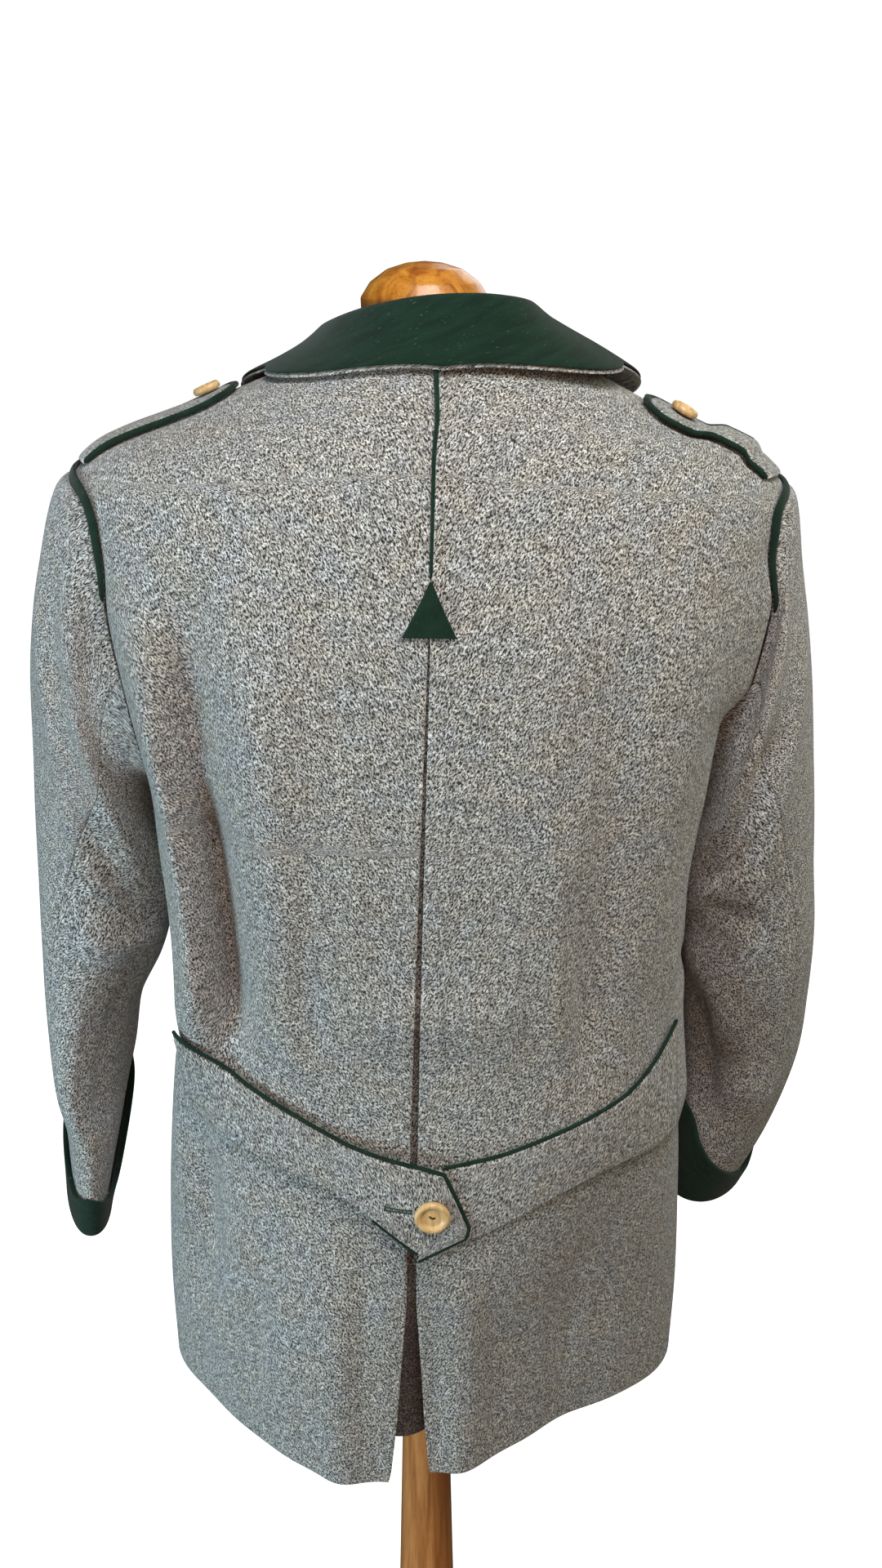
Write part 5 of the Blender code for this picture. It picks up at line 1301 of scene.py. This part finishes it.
def turned_piece(name, profile, steps, stuff, place=None, shape=None):
    """A lathe-turned piece: a rounded profile of radii and heights about +Z, put in its place."""
    profile = np.array(profile, float)
    for _ in range(2):  # the tool leaves no sharp corners
        near = profile[:-1] * 0.8 + profile[1:] * 0.2
        far = profile[:-1] * 0.2 + profile[1:] * 0.8
        profile = np.vstack([profile[:1], np.stack([near, far], 1).reshape(-1, 2)[1:-1], profile[-1:]])
    turns = np.linspace(0, 2 * math.pi, steps, endpoint=False)
    radii, heights = profile[1:-1, :, None].swapaxes(0, 1)
    rings = np.stack([radii * np.cos(turns), radii * np.sin(turns), heights + 0 * turns], -1)
    points = np.vstack([[[0, 0, profile[0, 1]]], rings.reshape(-1, 3), [[0, 0, profile[-1, 1]]]])
    if shape is not None:
        points = shape(points)
    if place is not None:
        points = points @ place[:3, :3].T + place[:3, 3]
    faces = ring_faces(len(rings), steps, 1)
    for middle, first in ((0, 1), (len(points) - 1, 1 + (len(rings) - 1) * steps)):
        faces += [[middle, first + turn, first + (turn + 1) % steps] for turn in range(steps)]
    return add_piece(name, points, faces, stuff)


def place_on(point, facing, up):
    """Where a round piece sits: its +Z along `facing`."""
    facing = unit(np.asarray(facing, float))
    across = unit(np.cross(up, facing))
    place = np.eye(4)
    place[:3] = np.stack([across, np.cross(facing, across), facing, point], -1)
    return place


def button_profile(radius, thick):
    """A turned button, dished inside a round rim, from its top down."""
    return (
        (0.0, thick * DISH), (radius * 0.55, thick * 0.66), (radius * 0.72, thick),
        (radius * 0.88, thick), (radius, thick * 0.55), (radius * 0.92, 0.0), (0.0, 0.0),
    )


def add_button(name, radius, thick, point, facing, up, slant):
    """A button sewn on with its two holes along `slant`, and its thread between them."""
    outline = button_profile(radius, thick)
    dish = [(radius * share, thick * DISH) for share in np.linspace(0.02, 0.5, 16)]
    way = np.array([math.cos(slant), math.sin(slant)])

    def drilled(points):
        """The button's face, sunk where its two holes are."""
        points = points.copy()
        for end in (-1, 1):
            away = np.linalg.norm(points[:, :2] - end * way * HOLES_APART, axis=1)
            deep = np.clip(1.25 - away / HOLE_RADIUS, 0, 1) * (points[:, 2] > thick * 0.4)
            points[:, 2] -= deep * thick * HOLE_DEPTH
        return points

    place = place_on(point, facing, up)
    button = turned_piece(name, (outline[0], *dish, *outline[1:]), 48, BUTTON_WOOD, place, drilled)
    ends = {-1: [], 1: []}
    for offset in (-THREADS_APART, 0.0, THREADS_APART):
        for end, row in ends.items():
            flat = end * way * HOLES_APART * 1.05 + np.array([-way[1], way[0]]) * offset
            row.append(place[:3, :3] @ np.array([*flat, thick * DISH]) + place[:3, 3])
    normals = np.repeat(place[None, :3, 2], 3, 0)
    starts, stops = np.array(ends[-1]), np.array(ends[1])
    add_stitches(f"{name}_thread", starts, stops, normals, BUTTON_THREAD, BROWN_THREAD)
    return button


beech = new_wood(
    "button_beech", (0.74, 0.52, 0.25), (0.62, 0.41, 0.18), (0.46, 0.28, 0.11), 60.0, 420.0, 0.25, 0.6
)
BUTTON_WOOD = (beech, "button_wood")
BROWN_THREAD = (new_thread("thread_brown", (0.06, 0.035, 0.02), (0.02, 0.012, 0.008)), "button_wood")
belt_angle, level = math.radians(BELT_BUTTON_ANGLE), level_at(BELT_BUTTON_HEIGHT)
lift = float(belt_lift(-1, np.array(belt_angle))) + STRAP + BELT_BUTTON_GAP
point = body(belt_angle, level, lift)
facing = body_normal(belt_angle, level)
button = add_button("belt_button_wood", BUTTON_RADIUS, BUTTON_THICK, point, facing, UPRIGHT, -0.35)
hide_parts("belt_button")
for side, label in SIDES.items():
    along, lift = EPAULETTE_TIP[side] - EPAULETTE_BUTTON[side], STRAP_LIFT + STRAP + SMALL_BUTTON_GAP
    point = shoulder_point(side, along, 0.0, lift)
    ends = [shoulder_point(side, along + way * 0.1, 0.0, lift) for way in (-1, 1)]
    edges = [shoulder_point(side, along, way * SMALL_BUTTON_RADIUS, lift) for way in (-1, 1)]
    facing = np.cross(ends[1] - ends[0], edges[1] - edges[0]) * side
    name, sizes = f"shoulder_button_{label}_wood", (SMALL_BUTTON_RADIUS, SMALL_BUTTON_THICK)
    button = add_button(name, *sizes, point, facing, (0, 1, 0), 0.4)
    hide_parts(f"shoulder_button_{label}")
for number, height in enumerate(np.linspace(*FRONT_BUTTON_HEIGHTS, FRONT_BUTTONS)):
    level = level_at(height, "z_front")
    point, facing = body(math.pi, level, FRONT_BUTTON_GAP), body_normal(math.pi, level)
    name = f"front_button_{number + 1}_wood"
    button = add_button(name, BUTTON_RADIUS, BUTTON_THICK, point, facing, UPRIGHT, 0.0)
    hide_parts(f"front_button_{number + 1}")

# ------------------------------------------------------------------ the dress form
# A limbless torso of pressed board, smoothly padded and covered with unbleached linen, whose seams
# run down the middle and the sides. Only its neck and its flat underside can be seen past the jacket.

FORM_COLUMNS = ("z", "half_width", "back_depth", "front_depth", "centre_y", "squareness")
FORM_SECTIONS = {
    "foot": (0.7350, 0.142, 0.090, 0.096, 0.0, 2.2),
    "hips": (0.8000, 0.152, 0.100, 0.104, 0.0, 2.2),
    "seat": (0.8700, 0.148, 0.102, 0.103, 0.0, 2.2),
    "waist": (0.9850, 0.128, 0.090, 0.094, 0.0, 2.2),
    "ribs": (1.0800, 0.138, 0.100, 0.108, 0.0, 2.2),
    "chest": (1.1800, 0.154, 0.112, 0.120, 0.0, 2.2),
    "blades": (1.2600, 0.164, 0.112, 0.114, 0.0, 2.2),
    "shoulders": (1.3200, 0.176, 0.098, 0.098, 0.0, 2.1),
    "shoulder ends": (1.3550, 0.172, 0.078, 0.076, 0.0, 2.0),
    "slope": (1.3830, 0.138, 0.066, 0.062, 0.0, 2.0),
    "neck root": (1.4050, 0.088, 0.055, 0.055, 0.004, 2.0),
    "throat": (1.4250, 0.052, 0.047, 0.050, 0.003, 2.0),
    "neck top": (1.4535, 0.043, 0.043, 0.043, 0.0, 2.0),
}
FORM_ROWS, FORM_STEP = 150, 2.5  # rings up the torso, and degrees from one point of a ring to the next
FORM_AROUND, FORM_ALONG = 0.0063, 0.062  # metres of linen to a step round it and to a section
SEAM_DEPTH, SEAM_HALF = 0.0010, 0.03  # metres deep, and radians from the middle to the side


def new_linen(name, light, dark):
    """Plain-woven linen: crossing threads about half a millimetre apart, with slubs."""
    made, tree = new_material(name, 0.9, Specular_IOR_Level=0.2, Sheen_Weight=0.1)
    metres = add_node(tree, "ShaderNodeUVMap", uv_map="cloth").outputs["UV"]
    threads = {}
    for way, turn in enumerate((0.0, math.pi / 2)):
        inputs = {"Vector": mapped(tree, metres, Rotation=(0, 0, turn)), "Scale": 320.0}
        inputs.update({"Distortion": 1.2, "Detail": 1.5})
        threads[way] = add_node(tree, "ShaderNodeTexWave", inputs).outputs["Fac"]
    weave = add_node(tree, "ShaderNodeMath", threads, operation="MULTIPLY").outputs["Value"]
    colour = ramp(tree, weave, ((0.05, dark), (0.6, light)))
    return finished(made, colour, relief(tree, weave, 0.4, 0.0002))


linen = new_linen("linen_natural", (0.62, 0.57, 0.48), (0.46, 0.41, 0.33))
at = np.linspace(0, len(FORM_SECTIONS) - 1, FORM_ROWS)
size = smooth_columns(FORM_COLUMNS, FORM_SECTIONS, at)
turns = np.radians(np.arange(0, 360, FORM_STEP))[:, None]
depth = np.where(np.cos(turns) > 0, size["back_depth"], size["front_depth"])
reach = section_reach(turns, size["half_width"], depth, size["squareness"])
for seam_angle in (0, math.pi / 2, math.pi, 3 * math.pi / 2):
    beside = np.abs(np.mod(turns - seam_angle + math.pi, 2 * math.pi) - math.pi)
    reach = reach - SEAM_DEPTH * np.exp(-((beside / SEAM_HALF) ** 2))
x, y = reach * np.sin(turns), size["centre_y"] - reach * np.cos(turns)
rings = hung(np.stack([x, y, size["z"] + 0 * turns], -1))
rings[:, 0, 2], rings[:, -1, 2] = size["z"][0], size["z"][-1]
rows, columns = rings.shape[:2]
u, v = np.meshgrid(np.arange(rows + 1) * FORM_AROUND, at * FORM_ALONG, indexing="ij")
laid = np.stack([u, v], -1).reshape(-1, 2)
quads = grid_corners(rows + 1, columns)
ends = [np.arange(rows) * columns + column for column in (0, columns - 1)]
faces = (quads % (rows * columns)).tolist() + [end.tolist() for end in ends]
uv = np.concatenate([laid[quads.ravel()], *(rings.reshape(-1, 3)[end, :2] for end in ends)])
torso = add_piece("form_torso_linen", rings, faces, (linen, "form_cover"), uv)
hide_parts("form_torso")

# ------------------------------------------------------------------ the cap and the stand
# The neck cap is turned from one block of honey-coloured wood and lacquered; the column and the foot
# are of a redder wood. All were turned on a lathe, so the grain runs up and down them.

FOOT_RADIUS, FOOT_HEIGHT = 0.180, 0.030
FOOT_PROFILE = (
    (0.000, 0.0560), (0.034, 0.0560), (0.040, 0.0520), (0.042, 0.0420), (0.052, 0.0340),
    (0.150, FOOT_HEIGHT), (0.172, 0.0240), (FOOT_RADIUS, 0.0140), (0.176, 0.0), (0.0, 0.0),
)
COLUMN_PROFILE = (
    (0.0, 0.7346), (0.0165, 0.7346), (0.0175, 0.7300), (0.0188, 0.6000), (0.0222, 0.4500),
    (0.0262, 0.3000), (0.0276, 0.2200), (0.0250, 0.1500), (0.0200, 0.1050), (0.0190, 0.0920),
    (0.0260, 0.0850), (0.0300, 0.0740), (0.0290, 0.0600), (0.0270, 0.0563), (0.0, 0.0563),
)
CAP_PROFILE = (
    (0.0, 1.4892), (0.0110, 1.4882), (0.0230, 1.4846), (0.0335, 1.4772), (0.0395, 1.4680),
    (0.0392, 1.4610), (0.0360, 1.4538), (0.0, 1.4538),
)
CAP_WOOD = (
    new_wood("wood_honey", (0.62, 0.27, 0.036), (0.50, 0.19, 0.020), (0.30, 0.085, 0.008), 9.0, 120.0, 0.6),
    "cap_wood",
)
STAND_WOOD = (
    new_wood("wood_red", (0.66, 0.29, 0.095), (0.52, 0.20, 0.058), (0.34, 0.115, 0.030), 7.0, 150.0, 0.45),
    "column_wood",
)
NECK_CENTRE = (0.002, 0, 0)


def along_profile(profile):
    """A profile with more points, for a smoothly rounded piece."""
    return [
        tuple(np.array(start) + (np.array(end) - np.array(start)) * share)
        for start, end in zip(profile, profile[1:]) for share in (0, 1 / 3, 2 / 3)
    ] + [profile[-1]]


for node, profile, steps, wood, place in (
    ("neck_cap", CAP_PROFILE, 96, CAP_WOOD, np.array(Matrix.Translation(NECK_CENTRE))),
    ("column", COLUMN_PROFILE, 96, STAND_WOOD, None),
    ("foot", FOOT_PROFILE, 128, STAND_WOOD, None),
):
    turned = turned_piece(f"{node}_turned", along_profile(profile), steps, wood, place)
    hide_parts(node)
